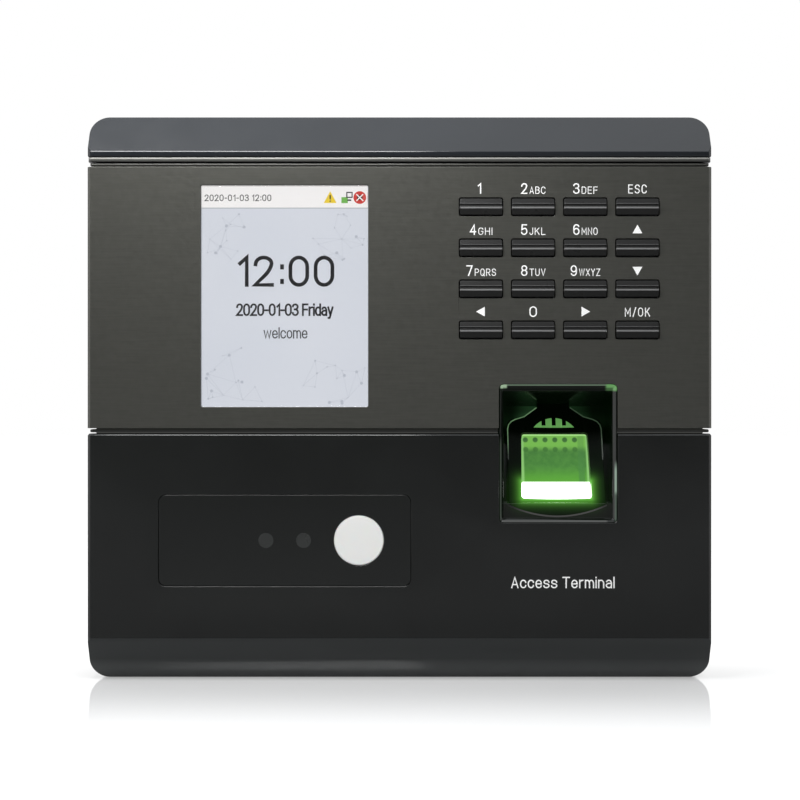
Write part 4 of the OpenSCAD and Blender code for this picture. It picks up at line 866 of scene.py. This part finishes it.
# White to the camera, and far dimmer as a lamp, so that it doesn't flood the object from below
lamp_ray = pale.node("LightPath").outputs["Is Camera Ray"]
across_y = pale.node("SeparateXYZ", {0: pale.node("NewGeometry").outputs["Position"]}).outputs[1]
gap_y = pale.math("ABSOLUTE", pale.math("SUBTRACT", across_y, (FRONT - 50) * MM))
# The floor's glow is dimmer in front of and under the object: painted shade
lit = pale.remap(gap_y, 45 * MM, 125 * MM, 0.48, 0.95, smooth=True)
pale.link("Emission Strength", pale.math("MULTIPLY", lit, pale.remap(lamp_ray, 0, 1, 0.06, 1)))
cloth = pale.mix(pale.noise(20), (0.5, 0.5, 0.5), (0.52, 0.52, 0.52))
pale.link("Base Color", pale.mix(pale.node("LightPath").outputs["Is Glossy Ray"], cloth, (0.25, 0.25, 0.25)))
fade = pale.remap(across_y, (FRONT - 90) * MM, (FRONT - 10) * MM, 0, 1, smooth=True)
fresnel = pale.node("Fresnel", {"IOR": 1.45}).outputs[0]
mirror = pale.node("BsdfGlossy", {"Color": (1, 1, 1, 1), "Roughness": 0.02})
blend = pale.node("MixShader", {0: pale.math("MULTIPLY", fade, fresnel), 1: pale.shader.outputs[0],
                                2: mirror.outputs[0]})
pale.tree.links.new(blend.outputs[0], pale.tree.nodes["Material Output"].inputs["Surface"])
floor_mesh.materials.append(pale.material)


def softbox(name, at, aim, size, radiance, colour=(1, 1, 1)):
    """A rectangular lamp given by the radiance of its face."""
    data = bpy.data.lights.new(name, "AREA")
    data.shape = "RECTANGLE"
    data.size, data.size_y = size[0] * MM, size[1] * MM
    data.energy = radiance * math.pi * data.size * data.size_y
    data.color = colour
    lamp = bpy.data.objects.new(name, data)
    lamp.location = Vector(at) * MM
    lamp.rotation_euler = (Vector(aim) - Vector(at)).to_track_quat("-Z", "Y").to_euler()
    bpy.context.scene.collection.objects.link(lamp)


softbox("overhead", (0, -190, 520), (0, -60, 0), (1000, 560), 1.5, (0.94, 0.97, 1.0))
softbox("key_light", (-50, -105, 150), (-30, -32, 40), (120, 40), 20.0)
softbox("left_strip", (-420, -90, 30), (0, -30, 0), (160, 400), 1.6)
softbox("right_strip", (420, -90, 30), (0, -30, 0), (160, 400), 1.2)

world = bpy.data.worlds.new("studio")
bpy.context.scene.world = world
world.use_nodes = True
sky = world.node_tree
ray = sky.nodes.new("ShaderNodeLightPath")
way = sky.nodes.new("ShaderNodeTexCoord")
split = sky.nodes.new("ShaderNodeSeparateXYZ")
sky.links.new(way.outputs["Generated"], split.inputs[0])
ramp = sky.nodes.new("ShaderNodeMapRange")
ramp.interpolation_type = "SMOOTHSTEP"
sky.links.new(split.outputs[1], ramp.inputs[0])
for index, value in enumerate((-0.4, 0.7, 0.13, 1.0)):
    ramp.inputs[1 + index].default_value = value
pick = sky.nodes.new("ShaderNodeMix")
sky.links.new(ray.outputs["Is Camera Ray"], pick.inputs[0])
sky.links.new(ramp.outputs[0], pick.inputs[2])
pick.inputs[3].default_value = 1.0
sky.links.new(pick.outputs[0], sky.nodes["Background"].inputs["Strength"])
sky.nodes["Background"].inputs["Color"].default_value = (1, 1, 1, 1)

view = bpy.context.scene.view_settings
view.view_transform = "Standard"
view.look = "None"
view.exposure = 0
view.gamma = 1
